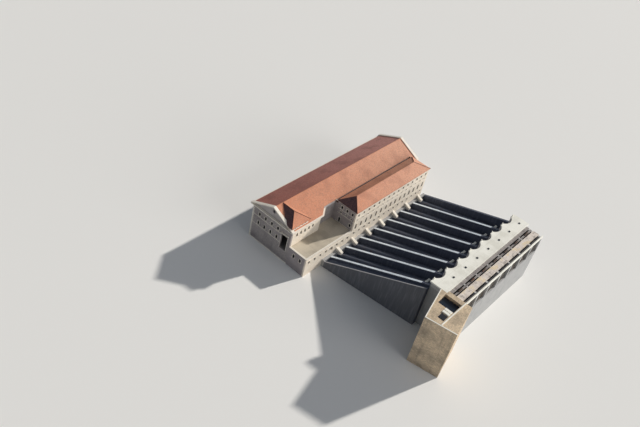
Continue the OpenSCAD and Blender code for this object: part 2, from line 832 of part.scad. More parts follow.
module roof_doorway(t)
    translate([0, end_mid_y - end_bay, 0]) rotate([0, 0, 90]) opening(roof_door_row, t);

module wing_far_windows(t)
    translate([0, end_mid_y, 0]) rotate([0, 0, 90]) columns(wing_rows, end_bays, end_bay, t);

module wing_end_wall(x0, low_y)
    intersection() {
        block([x0, low_y, 0], [x0 + wing_wall_t, front_y - wing_wall_t, ridge_h]);
        union() {
            under_wing_roof(wing_roof_t, 0);
            block([x0, 0, 0], [x0 + wing_wall_t, wing_rear_eave_y + cut, gutter_low_h]);
        }
    }

module wing_end_walls() color("gainsboro") site() {
    difference() {
        wing_end_wall(wing_near_x - wing_wall_t, hall_mid_y);
        translate([wing_near_x - wing_wall_t / 2, 0, 0]) {
            wing_near_windows(wing_wall_t + 2 * cut);
            roof_doorway(wing_wall_t + 2 * cut);
        }
        valley_space(fit_gap);
    }
    difference() {
        wing_end_wall(wing_far_x, hall_mid_y);
        translate([wing_far_x + wing_wall_t / 2, 0, 0]) wing_far_windows(wing_wall_t + 2 * cut);
        valley_space(fit_gap);
    }
}

// Trough of the valley gutter and the sill that carries the roof, grown by a gap
module valley_space(gap) {
    sill_y = wing_rear_eave_y + gutter_bearing;
    block([wing_far_x - gap, hall_mid_y, gutter_low_h - gap],
        [wing_near_x + gap, sill_y + gap, gutter_top_h + gap]);
    block([wing_far_x - gap, wing_rear_eave_y - gap, gutter_low_h],
        [wing_near_x + gap, sill_y + gap, ridge_h]);
}

module valley_gutter() color("gray") site()
    difference() {
        intersection() {
            valley_space(0);
            union() {
                under_wing_roof(wing_roof_t, 0);
                block([0, 0, 0], [hall_l, wing_rear_eave_y, gutter_top_h]);
            }
        }
        block([wing_far_x - cut, hall_mid_eave_y + gutter_lip, gutter_top_h - gutter_deep],
            [wing_near_x + cut, wing_rear_eave_y - gutter_lip, gutter_top_h + cut]);
    }

module wing_floors() color("darkgray") site()
    for (top = [ground_h, first_floor_h, second_floor_h, third_floor_h])
        block([wing_far_x + wing_wall_t, hall_mid_y, top - floor_t],
            [wing_near_x - wing_wall_t, front_y - wing_wall_t, top]);

// Plan of one step of the wing's cornice
module wing_cornice_plan(out)
    difference() {
        block_plan(wing_far_x - out, wing_near_x + out, hall_mid_y, front_y + out);
        block_plan(wing_far_x, wing_near_x, 0, front_y);
        block_plan(0, wing_far_x + cut, 0, roof_half + 10);
        block_plan(0, hall_l, front_y - fit_gap, front_y);
    }

module wing_cornice() color("white") site() {
    top = wing_eave_h - wing_roof_t;
    upright(top - 2 * wing_cornice_h, top) wing_cornice_plan(wing_cornice_out / 2);
    upright(top - wing_cornice_h, top) wing_cornice_plan(wing_cornice_out);
}

module wing_windows() color("darkslategray") site() {
    wing_front_openings(pane_t);
    translate([wing_near_x - wing_wall_t / 2, 0, 0]) wing_near_windows(pane_t);
    translate([wing_far_x + wing_wall_t / 2, 0, 0]) wing_far_windows(pane_t);
}

module annex_front_windows(t)
    translate([annex_mid_x, front_y - wing_wall_t / 2, 0])
        for (k = [0 : annex_bays - 1])
            if (k != annex_door_k)
                translate([(k - (annex_bays - 1) / 2) * annex_bay, 0, 0]) opening(annex_row, t);

module annex_doorway(t)
    translate([annex_mid_x + (annex_door_k - (annex_bays - 1) / 2) * annex_bay, 0, 0])
        translate([0, front_y - wing_wall_t / 2, 0]) opening(annex_door_row, t);

module annex_near_windows(t)
    translate([hall_l - wing_wall_t / 2, end_mid_y, 0])
        rotate([0, 0, 90]) columns([annex_arch_row], 2, annex_near_bay, t);

module annex_front_wall() color("ivory") site()
    difference() {
        block([wing_near_x, front_y - wing_wall_t, 0], [hall_l, front_y, annex_wall_h]);
        annex_front_windows(wing_wall_t + 2 * cut);
        annex_doorway(wing_wall_t + 2 * cut);
    }

module annex_near_wall() color("lightgray") site()
    difference() {
        block([hall_l - wing_wall_t, hall_half_w, 0],
            [hall_l, front_y - wing_wall_t, annex_wall_h]);
        annex_near_windows(wing_wall_t + 2 * cut);
    }

// Plan of the annex inside its walls
module annex_plan()
    polygon([
        [wing_near_x, front_y - wing_wall_t], [wing_near_x, hall_mid_y],
        [pavilion_end(hall_mid_y, cornice_out), hall_mid_y],
        [pavilion_end(hall_half_w, cornice_out), hall_half_w],
        [hall_l - wing_wall_t, hall_half_w], [hall_l - wing_wall_t, front_y - wing_wall_t],
    ]);

module annex_roof() color("tan") site()
    upright(annex_roof_h - floor_t, annex_roof_h) annex_plan();

module annex_floor() color("darkgray") site()
    upright(ground_h - floor_t, ground_h) annex_plan();

module annex_coping() color("white") site() {
    inner_y = front_y - wing_wall_t - annex_coping_out;
    block([wing_near_x, inner_y, annex_wall_h],
        [hall_l + annex_coping_out, front_y + annex_coping_out, annex_wall_h + annex_coping_t]);
    block([hall_l - wing_wall_t - annex_coping_out, hall_half_w, annex_wall_h],
        [hall_l + annex_coping_out, inner_y - fit_gap, annex_wall_h + annex_coping_t]);
}

module annex_windows() color("darkslategray") site() {
    annex_front_windows(pane_t);
    annex_near_windows(pane_t);
}

module thrust_wall() color("lightgray") site()
    block([foot_x(0) - rib_t / 2, front_y, 0],
        [foot_x(bays) + rib_t / 2 + slope_foot_w + side_wall_t, foot_y, rib_foot_h]);

// Strip of a lane in plan, between two lane numbers shifted sideways
module lane_plan(i, di, j, dj, y0, y1)
    polygon([
        [lane_x(i, y0) + di, y0], [lane_x(j, y0) + dj, y0],
        [lane_x(j, y1) + dj, y1], [lane_x(i, y1) + di, y1],
    ]);

// Space between two falling surfaces
module falling(y0, y1, low0, low1, top0, top1)
    along_x(-hall_l, 2 * hall_l) polygon([[y0, low0], [y1, low1], [y1, top1], [y0, top0]]);

module dividing_walls() color("lightsteelblue") site()
    for (i = [0 : bays])
        intersection() {
            upright(0, deck_h) lane_plan(i, -rib_t / 2, i, rib_t / 2, foot_y, nose_y);
            falling(foot_y, nose_y, 0, 0, rib_foot_h, rib_head_h);
        }

module penstock_beds() color("dimgray") site()
    for (i = [0 : bays - 1])
        intersection() {
            upright(0, deck_h) lane_plan(i, rib_t / 2, i + 1, -rib_t / 2, foot_y, nose_y);
            falling(foot_y, nose_y, bed_foot_h - bed_t, bed_head_h - bed_t, bed_foot_h, bed_head_h);
        }

// Straight cylinder along a bay's pipe, set by its radius and reach
module pipe_line(i, r, y0, y1) {
    k = i + 0.5;
    z0 = bed_z(y0) + pipe_drop;
    z1 = bed_z(y1) + pipe_drop;
    dx = lane_x(k, y1) - lane_x(k, y0);
    flat = sqrt(dx * dx + (y1 - y0) * (y1 - y0));
    length = sqrt(flat * flat + (z1 - z0) * (z1 - z0));
    translate([lane_x(k, y0), y0, z0]) rotate([0, 0, atan2(-dx, y1 - y0)])
        rotate([atan2(z1 - z0, flat) - 90, 0, 0]) cylinder(r = r, h = length);
}

pipe_end_y = crown_y + arch_t / 2;

module penstocks() color("darkslategray") site()
    for (i = [0 : bays - 1])
        intersection() {
            pipe_line(i, pipe_r, foot_y - 2 * pipe_r, pipe_end_y + 2 * pipe_r);
            block([0, foot_y, 0], [hall_l, pipe_end_y, deck_h]);
        }

// Distance uphill of each saddle
function saddle_y(s) = foot_y + anchor_l + (s + 0.5) * (run - anchor_l) / saddles;

module penstock_saddles() color("lightgray") site()
    for (i = [0 : bays - 1], s = [0 : saddles - 1]) {
        y0 = saddle_y(s) - saddle_l / 2;
        y1 = saddle_y(s) + saddle_l / 2;
        difference() {
            intersection() {
                upright(0, deck_h) lane_plan(i + 0.5, -saddle_w / 2, i + 0.5, saddle_w / 2, y0, y1);
                falling(y0, y1, bed_z(y0), bed_z(y1), bed_z(y0) + pipe_drop - saddle_down,
                    bed_z(y1) + pipe_drop - saddle_down);
            }
            pipe_line(i, pipe_r + fit_gap, y0 - pipe_r, y1 + pipe_r);
        }
    }

module penstock_collars() color("slategray") site()
    for (i = [0 : bays - 1], s = [0 : saddles - 2]) {
        y = (saddle_y(s) + saddle_y(s + 1)) / 2;
        difference() {
            pipe_line(i, pipe_r + collar_out, y, y + collar_l);
            pipe_line(i, pipe_r + fit_gap, y - collar_l, y + 2 * collar_l);
        }
    }

module anchor_blocks() color("ivory") site()
    for (i = [0 : bays - 1])
        difference() {
            intersection() {
                upright(0, deck_h) lane_plan(i + 0.5, -anchor_w / 2, i + 0.5, anchor_w / 2,
                    front_y, foot_y + anchor_l);
                along_x(-hall_l, 2 * hall_l) polygon([
                    [foot_y, bed_foot_h + pipe_drop],
                    [foot_y + anchor_l, bed_z(foot_y + anchor_l) + pipe_drop],
                    [foot_y + anchor_l, anchor_low_h], [front_y, anchor_top_h],
                    [front_y, rib_foot_h], [foot_y, rib_foot_h],
                ]);
            }
            pipe_line(i, pipe_r + fit_gap, foot_y - pipe_r, foot_y + anchor_l + pipe_r);
        }

// Strip beside the last dividing wall, between two widths at the foot and head
module side_strip(f0, h0, f1, h1)
    polygon([
        [foot_x(bays) + rib_t / 2 + f0, foot_y], [foot_x(bays) + rib_t / 2 + f1, foot_y],
        [head_x(bays) + rib_t / 2 + h1, nose_y], [head_x(bays) + rib_t / 2 + h0, nose_y],
    ]);

module service_slope() color("slategray") site()
    intersection() {
        upright(0, deck_h) side_strip(0, 0, slope_foot_w, slope_head_w);
        falling(foot_y, nose_y, 0, 0, rib_foot_h - slope_down, rib_head_h - slope_down);
    }

module side_wall() color("silver") site() {
    up = side_wall_up - slope_down;
    intersection() {
        upright(0, deck_h) side_strip(slope_foot_w, slope_head_w,
            slope_foot_w + side_wall_t, slope_head_w + side_wall_t);
        falling(foot_y, nose_y, 0, 0, rib_foot_h + up, rib_head_h + up);
    }
}

module buttresses() color("gainsboro") site()
    for (i = [0 : bays])
        block([head_x(i) - rib_t / 2, nose_y, 0],
            [head_x(i) + rib_t / 2, deck_rear_y, deck_h - deck_t]);

module arch_wall() color("gainsboro") site()
    for (i = [0 : bays - 1])
        difference() {
            intersection() {
                translate([head_x(i + 0.5), arch_mid_y, sill_h])
                    cylinder(r = arch_r + arch_t, h = deck_h - deck_t - sill_h);
                block([head_x(i) + rib_t / 2, nose_y, 0],
                    [head_x(i + 1) - rib_t / 2, deck_rear_y, deck_h]);
            }
            translate([head_x(i + 0.5), arch_mid_y, 0]) cylinder(r = arch_r, h = deck_h);
            pipe_line(i, pipe_r + fit_gap, nose_y - pipe_r, deck_rear_y);
        }

module intake_deck() color("white") site()
    difference() {
        block([intake_far_x, nose_y - deck_lip, deck_h - deck_t],
            [intake_near_x, deck_rear_y, deck_h]);
        for (i = [0 : bays - 1])
            translate([head_x(i + 0.5), arch_mid_y, 0])
                cylinder(r = arch_r - deck_lip, h = deck_h + cut);
    }

module deck_hatches() color("dimgray") site()
    for (i = [0 : bays - 1])
        translate([head_x(i + 0.5) - hatch_shift, hatch_y, deck_h])
            block([-hatch / 2, -hatch / 2, 0], [hatch / 2, hatch / 2, hatch_h]);

module intake_floor() color("darkgray") site()
    for (i = [0 : bays - 1]) {
        block([head_x(i) + rib_t / 2, nose_y, sill_h - sill_t],
            [head_x(i + 1) - rib_t / 2, canal_y - canal_wall_t, sill_h]);
    }

module canal_wall() color("gainsboro") site()
    block([head_x(0) - pier_t / 2, canal_y - canal_wall_t, 0],
        [head_x(bays) + pier_t / 2, canal_y, sill_h]);

module rack_piers() color("lightgray") site()
    for (i = [0 : bays])
        difference() {
            block([head_x(i) - pier_t / 2, deck_rear_y, 0],
                [head_x(i) + pier_t / 2, canal_y, pier_h]);
            block([head_x(i) - pier_t / 2 - cut, canal_y - canal_wall_t, -cut],
                [head_x(i) + pier_t / 2 + cut, canal_y + cut, sill_h]);
        }

module rack_walkways() color("wheat") site() {
    x0 = head_x(0) - pier_t / 2;
    x1 = head_x(bays) + pier_t / 2;
    block([x0, deck_rear_y, pier_h], [x1, deck_rear_y + walk_w, pier_h + walk_t]);
    block([x0, gate_y - hoist_beam_w / 2, pier_h],
        [x1, gate_y + hoist_beam_w / 2, pier_h + hoist_beam_t]);
    block([x0, platform_y, pier_h], [x1, platform_y + platform_w, pier_h + walk_t]);
}

module gates() color("darkslategray") site()
    for (i = [0 : bays - 1])
        block([head_x(i) + pier_t / 2, gate_y - gate_t / 2, sill_h],
            [head_x(i + 1) - pier_t / 2, gate_y + gate_t / 2, pier_h]);

module gate_hoists() color("saddlebrown") site()
    for (i = [0 : bays - 1])
        translate([head_x(i + 0.5), gate_y, pier_h + hoist_beam_t])
            block([-hoist_l / 2, -hoist_w / 2, 0], [hoist_l / 2, hoist_w / 2, hoist_h]);

module trash_racks() color("black") site() {
    clear = head_pitch - pier_t;
    foot = canal_y - canal_wall_t;
    for (i = [0 : bays - 1])
        translate([head_x(i + 0.5), 0, 0]) along_x(-clear / 2, clear / 2) polygon([
            [foot - rack_d, sill_h], [foot, sill_h],
            [foot - rack_lean, pier_h], [foot - rack_lean - rack_d, pier_h],
        ]);
}

module parapet_beam() color("white") site()
    block([head_x(0) - pier_t / 2, canal_y - parapet_beam_t, pier_h],
        [head_x(bays) + pier_t / 2, canal_y, pier_h + parapet_beam_h]);

module near_abutment() color("tan") site() {
    rack_x = head_x(bays) + pier_t / 2;
    difference() {
        upright(0, deck_h) polygon([
            [intake_near_x, deck_rear_y - abutment_nose], [abutment_x, abutment_front_y],
            [abutment_x - abutment_lean, abutment_rear_y], [rack_x, abutment_rear_y - abutment_fall],
            [rack_x, deck_rear_y], [intake_near_x, deck_rear_y],
        ]);
        block([intake_near_x + chamber_wall_t, deck_rear_y, deck_h - chamber_deep],
            [intake_near_x + chamber_wall_t + chamber_l, deck_rear_y + chamber_w, deck_h + cut]);
    }
}

hall_floor();
hall_west_wall();
hall_east_wall();
near_gable_wall();
far_gable_wall();
near_pavilion_wall();
far_pavilion_wall();
hall_roof_west();
hall_roof_east();
near_pavilion_roof();
far_pavilion_roof();
tower_walls();
tower_roof();
hall_cornice();
near_gable_coping();
far_gable_coping();
hall_windows();
gable_windows();
door_hood();
wing_front_wall();
wing_end_walls();
wing_floors();
wing_roof();
wing_cornice();
valley_gutter();
wing_windows();
annex_front_wall();
annex_near_wall();
annex_roof();
annex_floor();
annex_coping();
annex_windows();
thrust_wall();
dividing_walls();
penstock_beds();
penstocks();
penstock_saddles();
penstock_collars();
anchor_blocks();
service_slope();
side_wall();
buttresses();
arch_wall();
intake_deck();
deck_hatches();
intake_floor();
canal_wall();
rack_piers();
rack_walkways();
gates();
gate_hoists();
trash_racks();
parapet_beam();
near_abutment();
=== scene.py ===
"""Dresses the 1:10 hydroelectric power station.

The CAD solids give every main form. This script adds window bars and stone surrounds, ridge and hip
tiles, string courses, quoins, rack bars, gate ribs, hoists, hatch lids, kerbs, small blocks and
water, and gives each surface a procedural finish. Lengths are metres in the row frame.
"""

from __future__ import annotations

import json
import logging
import math
from dataclasses import dataclass
from enum import Enum
from itertools import pairwise

import bmesh
import bpy
from mathutils import Matrix, Vector

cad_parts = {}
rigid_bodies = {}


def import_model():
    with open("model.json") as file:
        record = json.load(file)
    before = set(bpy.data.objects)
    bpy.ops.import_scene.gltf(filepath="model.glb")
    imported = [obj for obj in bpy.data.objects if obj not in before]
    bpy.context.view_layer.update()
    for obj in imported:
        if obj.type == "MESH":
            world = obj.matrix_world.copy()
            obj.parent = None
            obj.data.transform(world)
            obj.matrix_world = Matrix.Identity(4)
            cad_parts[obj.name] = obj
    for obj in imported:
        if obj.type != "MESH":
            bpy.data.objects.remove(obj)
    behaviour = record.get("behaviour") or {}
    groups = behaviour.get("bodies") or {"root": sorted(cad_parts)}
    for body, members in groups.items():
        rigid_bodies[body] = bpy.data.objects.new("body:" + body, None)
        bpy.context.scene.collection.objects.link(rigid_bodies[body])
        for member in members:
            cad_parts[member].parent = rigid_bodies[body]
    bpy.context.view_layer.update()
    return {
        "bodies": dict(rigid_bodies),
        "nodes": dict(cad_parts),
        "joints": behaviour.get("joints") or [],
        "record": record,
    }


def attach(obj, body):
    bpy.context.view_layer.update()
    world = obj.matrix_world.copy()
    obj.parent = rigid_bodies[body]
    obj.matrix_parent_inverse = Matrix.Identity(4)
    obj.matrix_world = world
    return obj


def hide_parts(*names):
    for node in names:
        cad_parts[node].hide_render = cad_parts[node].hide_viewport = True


LOG = logging.getLogger("station")

Colour = tuple[float, float, float]
Point = tuple[float, float, float]


def srgb(red: int, green: int, blue: int) -> Colour:
    """Turns a colour of 0 to 255 as seen on a screen into linear light."""

    def linear(channel: int) -> float:
        """Linear value of one channel."""
        value = channel / 255
        return value / 12.92 if value <= 0.04045 else ((value + 0.055) / 1.055) ** 2.4

    return (linear(red), linear(green), linear(blue))


class Val:
    """A number inside a material, on which plain arithmetic adds Math nodes."""

    def __init__(self, graph: Graph, socket: bpy.types.NodeSocket) -> None:
        """Wraps one socket of a graph."""
        self.graph = graph
        self.socket = socket

    def _math(self, operation: str, *values: Val | float) -> Val:
        """Adds one Math node.

        Args:
            operation: the Math node's operation.
            values: its inputs, in order.

        Returns:
            The node's result.
        """
        node = self.graph.node("ShaderNodeMath", {"operation": operation}, dict(enumerate(values)))
        return Val(self.graph, node.outputs[0])

    def __add__(self, other: Val | float) -> Val:
        """Sum."""
        return self._math("ADD", self, other)

    __radd__ = __add__

    def __mul__(self, other: Val | float) -> Val:
        """Product."""
        return self._math("MULTIPLY", self, other)

    __rmul__ = __mul__

    def __sub__(self, other: Val | float) -> Val:
        """Difference."""
        return self._math("SUBTRACT", self, other)

    def __rsub__(self, other: Val | float) -> Val:
        """Difference from a number."""
        return self._math("SUBTRACT", other, self)

    def __truediv__(self, other: Val | float) -> Val:
        """Quotient."""
        return self._math("DIVIDE", self, other)

    def __abs__(self) -> Val:
        """Size without sign."""
        return self._math("ABSOLUTE", self)

    def __gt__(self, other: Val | float) -> Val:
        """One where this is the larger, otherwise zero."""
        return self._math("GREATER_THAN", self, other)

    def __lt__(self, other: Val | float) -> Val:
        """One where this is the smaller, otherwise zero."""
        return self._math("LESS_THAN", self, other)

    def floor(self) -> Val:
        """Whole part."""
        return self._math("FLOOR", self)

    def fract(self) -> Val:
        """Part after the point."""
        return self._math("FRACT", self)

    def sine(self) -> Val:
        """Sine."""
        return self._math("SINE", self)

    def ramp(self, low: float, high: float) -> Val:
        """Rises smoothly from 0 at low to 1 at high.

        Args:
            low: value that gives 0.
            high: value that gives 1.

        Returns:
            The clamped ramp.
        """
        node = self.graph.node(
            "ShaderNodeMapRange",
            {"interpolation_type": "SMOOTHSTEP"},
            {"Value": self, "From Min": low, "From Max": high},
        )
        return Val(self.graph, node.outputs["Result"])


class Graph:
    """The nodes of one material."""

    def __init__(self, name: str) -> None:
        """Makes an empty material with a shader and its output."""
        self.material = bpy.data.materials.new(name)
        self.material.use_nodes = True
        self.tree = self.material.node_tree
        self.tree.nodes.clear()
        self.shader = self.tree.nodes.new("ShaderNodeBsdfPrincipled")
        output = self.tree.nodes.new("ShaderNodeOutputMaterial")
        self.tree.links.new(self.shader.outputs[0], output.inputs["Surface"])
        self.at = self.node("ShaderNodeTexCoord", {}, {}).outputs["Object"]

    def node(self, kind: str, settings: dict, inputs: dict) -> bpy.types.Node:
        """Adds a node.

        Args:
            kind: its type.
            settings: its own settings, set first.
            inputs: values or links of its sockets, by name or number.

        Returns:
            The new node.
        """
        node = self.tree.nodes.new(kind)
        for key, value in settings.items():
            setattr(node, key, value)
        for key, value in inputs.items():
            self.put(node.inputs[key], value)
        return node

    def put(self, socket: bpy.types.NodeSocket, value: object) -> None:
        """Links a socket to a value of the graph, or sets it.

        Args:
            socket: the socket to fill.
            value: a Val, a socket, a number or a colour.
        """
        if isinstance(value, Val):
            self.tree.links.new(value.socket, socket)
        elif isinstance(value, bpy.types.NodeSocket):
            self.tree.links.new(value, socket)
        elif isinstance(value, tuple) and socket.type == "RGBA":
            socket.default_value = (*value, 1.0)
        else:
            socket.default_value = value

    def place(self) -> tuple[Val, Val, Val]:
        """X, Y and Z of the surface in the piece's own frame."""
        split = self.node("ShaderNodeSeparateXYZ", {}, {0: self.at})
        return tuple(Val(self, split.outputs[axis]) for axis in range(3))

    def facing(self) -> tuple[Val, Val, Val]:
        """X, Y and Z of the surface's normal."""
        shape = self.node("ShaderNodeNewGeometry", {}, {})
        split = self.node("ShaderNodeSeparateXYZ", {}, {0: shape.outputs["Normal"]})
        return tuple(Val(self, split.outputs[axis]) for axis in range(3))

    def vector(self, x: Val | float, y: Val | float, z: Val | float) -> bpy.types.NodeSocket:
        """Joins three numbers."""
        return self.node("ShaderNodeCombineXYZ", {}, {0: x, 1: y, 2: z}).outputs[0]

    def noise(self, scale: float, detail: float, *stretched: Val) -> Val:
        """Cloudy pattern between 0 and 1.

        Args:
            scale: features in a metre.
            detail: octaves.
            stretched: X, Y and Z where it is read, or none for the surface's own.

        Returns:
            The pattern's value.
        """
        at = self.vector(*stretched) if stretched else self.at
        node = self.node("ShaderNodeTexNoise", {}, {"Vector": at, "Scale": scale, "Detail": detail})
        return Val(self, node.outputs["Fac"])

    def chance(self, a: Val, b: Val) -> Val:
        """A number between 0 and 1 that differs for each pair of whole numbers."""
        node = self.node(
            "ShaderNodeTexWhiteNoise", {"noise_dimensions": "2D"}, {0: self.vector(a, b, 0.0)}
        )
        return Val(self, node.outputs["Value"])

    def mix(self, share: Val | float, first: object, second: object) -> bpy.types.NodeSocket:
        """Blends two colours.

        Args:
            share: how much of the second shows.
            first: colour or socket.
            second: colour or socket.

        Returns:
            The blended colour.
        """
        node = self.node("ShaderNodeMix", {"data_type": "RGBA"}, {0: share, 6: first, 7: second})
        return node.outputs[2]

    def finish(
        self,
        colour: object,
        roughness: Val | float,
        height: Val | None = None,
        depth: float = 0.002,
        strength: float = 0.6,
        metallic: float = 0.0,
    ) -> bpy.types.Material:
        """Feeds the shader.

        Args:
            colour: base colour.
            roughness: number or pattern.
            height: relief between 0 and 1.
            depth: metres of relief.
            strength: strength of the relief.
            metallic: 0 or 1.

        Returns:
            The finished material.
        """
        self.put(self.shader.inputs["Base Color"], colour)
        self.put(self.shader.inputs["Roughness"], roughness)
        self.put(self.shader.inputs["Metallic"], metallic)
        if height is not None:
            relief = {"Strength": strength, "Distance": depth, "Height": height}
            bump = self.node("ShaderNodeBump", {}, relief)
            self.put(self.shader.inputs["Normal"], bump.outputs[0])
        return self.material


@dataclass(frozen=True)
class ClayTiles:
    """Rolls of clay tiles laid in courses down a slope."""

    name: str
    fired: Colour
    dark: Colour
    pale: Colour
    painted_shade: Colour
    fade: float = 0.45
    roll: float = 0.024
    course: float = 0.04
    slant: float = 2.4
    far_end: float = -5.0
    near_end: float = 4.5

    def material(self) -> bpy.types.Material:
        """Builds the finish."""
        g = Graph(self.name)
        x, y, z = g.place()
        nx, ny, _ = g.facing()
        sideways = abs(nx) > abs(ny)
        painted_shade_share = nx.ramp(0.2, 0.45)
        across = x + (y - x) * sideways
        down = z * self.slant
        roll = across / self.roll
        course = down / self.course
        tone = g.chance(roll.floor(), course.floor())
        cloud = g.noise(1.3, 5.0)
        speck = g.noise(60.0, 2.0)
        paler_share = 1.0 - x.ramp(self.far_end, self.near_end)
        colour = g.mix(tone * 0.4 + paler_share * self.fade, self.fired, self.pale)
        colour = g.mix((tone > 0.8) * 0.45, colour, self.dark)
        colour = g.mix(cloud.ramp(0.45, 0.75) * 0.45, colour, self.dark)
        colour = g.mix(speck.ramp(0.55, 0.8) * 0.3, colour, self.dark)
        groove = (roll * (2 * math.pi)).sine() * 0.5 + 0.5
        lap = course.fract()
        # Painted shade: the troughs between the rolls and the lower edge of each course are darkened.
        colour = g.mix((1.0 - groove) * 0.3, colour, self.dark)
        colour = g.mix(lap.ramp(0.85, 1.0) * 0.5, colour, self.dark)
        # Painted shade: slopes that face +X, away from the key lamp, take the dark navy colour.
        colour = g.mix(painted_shade_share * (0.95 - tone * 0.25), colour, self.painted_shade)
        height = groove * 0.7 + lap * 0.3
        return g.finish(colour, 0.85 - tone * 0.15, height, 0.006, 0.7)


@dataclass(frozen=True)
class Masonry:
    """Coursed blocks with joints, soiled by rain."""

    name: str
    first: Colour
    second: Colour
    joint: Colour
    soil: Colour
    long: float = 0.06
    high: float = 0.03
    soiling: float = 0.4
    relief: float = 0.003
    plaster_z: float = 9.0
    slope: Colour = (0.5, 0.5, 0.5)
    gap: float = 0.0022

    def material(self) -> bpy.types.Material:
        """Builds the finish.

        Above plaster_z the wall is smooth, and its sloping top, flush with the roof, has the
        slope's colour.
        """
        g = Graph(self.name)
        x, y, z = g.place()
        up = g.facing()[2]
        flat = up > 0.7
        wobble = g.noise(14.0, 2.0) * 0.012
        along = x + y * (1.0 - flat) + wobble
        wall = g.vector(along, z + (y - z) * flat + wobble * 0.6, 0.0)
        brick = g.node(
            "ShaderNodeTexBrick",
            {"offset": 0.5, "squash": 1.0},
            {
                "Vector": wall,
                "Color1": self.first,
                "Color2": self.second,
                "Mortar": self.joint,
                "Scale": 1.0,
                "Mortar Size": self.gap,
                "Mortar Smooth": 0.4,
                "Bias": 0.0,
                "Brick Width": self.long,
                "Row Height": self.high,
            },
        )
        mortar = Val(g, brick.outputs["Fac"])
        cloud = g.noise(1.7, 5.0)
        streak = g.noise(1.0, 4.0, x * 9.0, y * 9.0, z * 0.8)
        grain = g.noise(90.0, 3.0)
        colour = g.mix(cloud.ramp(0.4, 0.75) * self.soiling, brick.outputs["Color"], self.soil)
        colour = g.mix(streak.ramp(0.5, 0.8) * self.soiling * 0.8, colour, self.soil)
        colour = g.mix(grain.ramp(0.5, 0.8) * 0.2, colour, self.soil)
        foot = 1.0 - z.ramp(0.0, 0.5)
        colour = g.mix(foot * self.soiling * 0.6, colour, self.soil)
        smooth = z > self.plaster_z
        plaster = g.mix(cloud.ramp(0.35, 0.7) * 0.5, self.joint, self.first)
        colour = g.mix(smooth * 0.85, colour, plaster)
        colour = g.mix((up > 0.88) * (up < 0.95), colour, self.slope)
        height = (1.0 - mortar) * 0.7 * (1.0 - smooth) + grain * 0.3
        return g.finish(colour, 0.9, height, self.relief, 0.6)


@dataclass(frozen=True)
class Render:
    """Smooth render or concrete with clouds, streaks and board marks."""

    name: str
    base: Colour
    cloud: Colour
    streak: Colour
    board: float = 0.0
    amount: float = 0.4
    roughness: float = 0.88
    tide: float = 0.0

    def material(self) -> bpy.types.Material:
        """Builds the finish.

        Below the tide, where it is set, the face is stained as by standing water.
        """
        g = Graph(self.name)
        x, y, z = g.place()
        cloud = g.noise(2.2, 6.0)
        spot = g.noise(11.0, 5.0)
        streak = g.noise(1.0, 4.0, x * 16.0, y * 16.0, z * 1.1)
        grain = g.noise(120.0, 2.0)
        colour = g.mix(cloud.ramp(0.4, 0.72) * self.amount, self.base, self.cloud)
        colour = g.mix(streak.ramp(0.52, 0.78) * self.amount, colour, self.streak)
        colour = g.mix(spot.ramp(0.6, 0.8) * self.amount * 0.7, colour, self.streak)
        height = grain * 0.5 + spot * 0.5
        if self.tide:
            wet = 1.0 - (z + cloud * 0.12).ramp(self.tide, self.tide + 0.05)
            colour = g.mix(wet * 0.45, colour, self.streak)
        if self.board:
            line = (z / self.board).fract()
            seam = 1.0 - line.ramp(0.0, 0.05)
            colour = g.mix(seam * 0.25, colour, self.streak)
            height = height - seam * 0.5
        return g.finish(colour, self.roughness, height, 0.0015, 0.5)


@dataclass(frozen=True)
class Crest:
    """Concrete with pale upper faces and dark sides; the dark sides are painted shade.

    The upper faces keep the dark colour too beyond head_y, as painted shadow under the deck, and beyond
    far_x, on the outermost wall at the far side.
    """

    name: str
    crest: Colour
    side: Colour
    stain: Colour
    head_y: float = 9.0
    far_x: float = -9.0
    skew: float = 0.0
    lift: float = 0.25

    def material(self) -> bpy.types.Material:
        """Builds the finish."""
        g = Graph(self.name)
        x, y, z = g.place()
        cloud = g.noise(3.0, 6.0)
        spot = g.noise(24.0, 5.0)
        seam = 1.0 - (z / self.lift).fract().ramp(0.0, 0.04)
        streak = g.noise(1.0, 4.0, x * 14.0, y * 14.0, z * 1.2)
        side = g.mix(streak.ramp(0.45, 0.75) * 0.6, self.side, self.stain)
        side = g.mix(seam * 0.4, side, self.side)
        crest = g.mix(cloud.ramp(0.45, 0.75) * 0.35, self.crest, self.stain)
        crest = g.mix(spot.ramp(0.6, 0.8) * 0.3, crest, self.side)
        # Painted shade: the sides, and the upper faces under the deck beyond head_y, keep the dark colour; so
        # do the upper faces beyond far_x.
        up = g.facing()[2].ramp(0.5, 0.8)
        paler_share = up * (y < self.head_y) * (x - y * self.skew > self.far_x)
        colour = g.mix(paler_share, side, crest)
        return g.finish(colour, 0.85, spot - seam * (1.0 - up), 0.002, 0.5)


@dataclass(frozen=True)
class Paving:
    """A flat surface cast in squares, with stains."""

    name: str
    base: Colour
    stain: Colour
    joint: Colour
    square: float = 0.33
    amount: float = 0.5

    def material(self) -> bpy.types.Material:
        """Builds the finish."""
        g = Graph(self.name)
        x, y, _ = g.place()
        cloud = g.noise(1.6, 6.0)
        spot = g.noise(18.0, 5.0)
        grain = g.noise(140.0, 2.0)
        seams = ((at / self.square).fract().ramp(0.0, 0.02) for at in (x, y))
        lines = sum(1.0 - seam for seam in seams)
        up = g.facing()[2].ramp(0.5, 0.9)
        colour = g.mix(cloud.ramp(0.42, 0.7) * self.amount, self.base, self.stain)
        colour = g.mix(spot.ramp(0.6, 0.75) * self.amount * 0.6, colour, self.stain)
        colour = g.mix((lines * up).ramp(0.0, 1.0) * 0.5, colour, self.joint)
        return g.finish(colour, 0.9, grain - lines * up, 0.0015, 0.4)


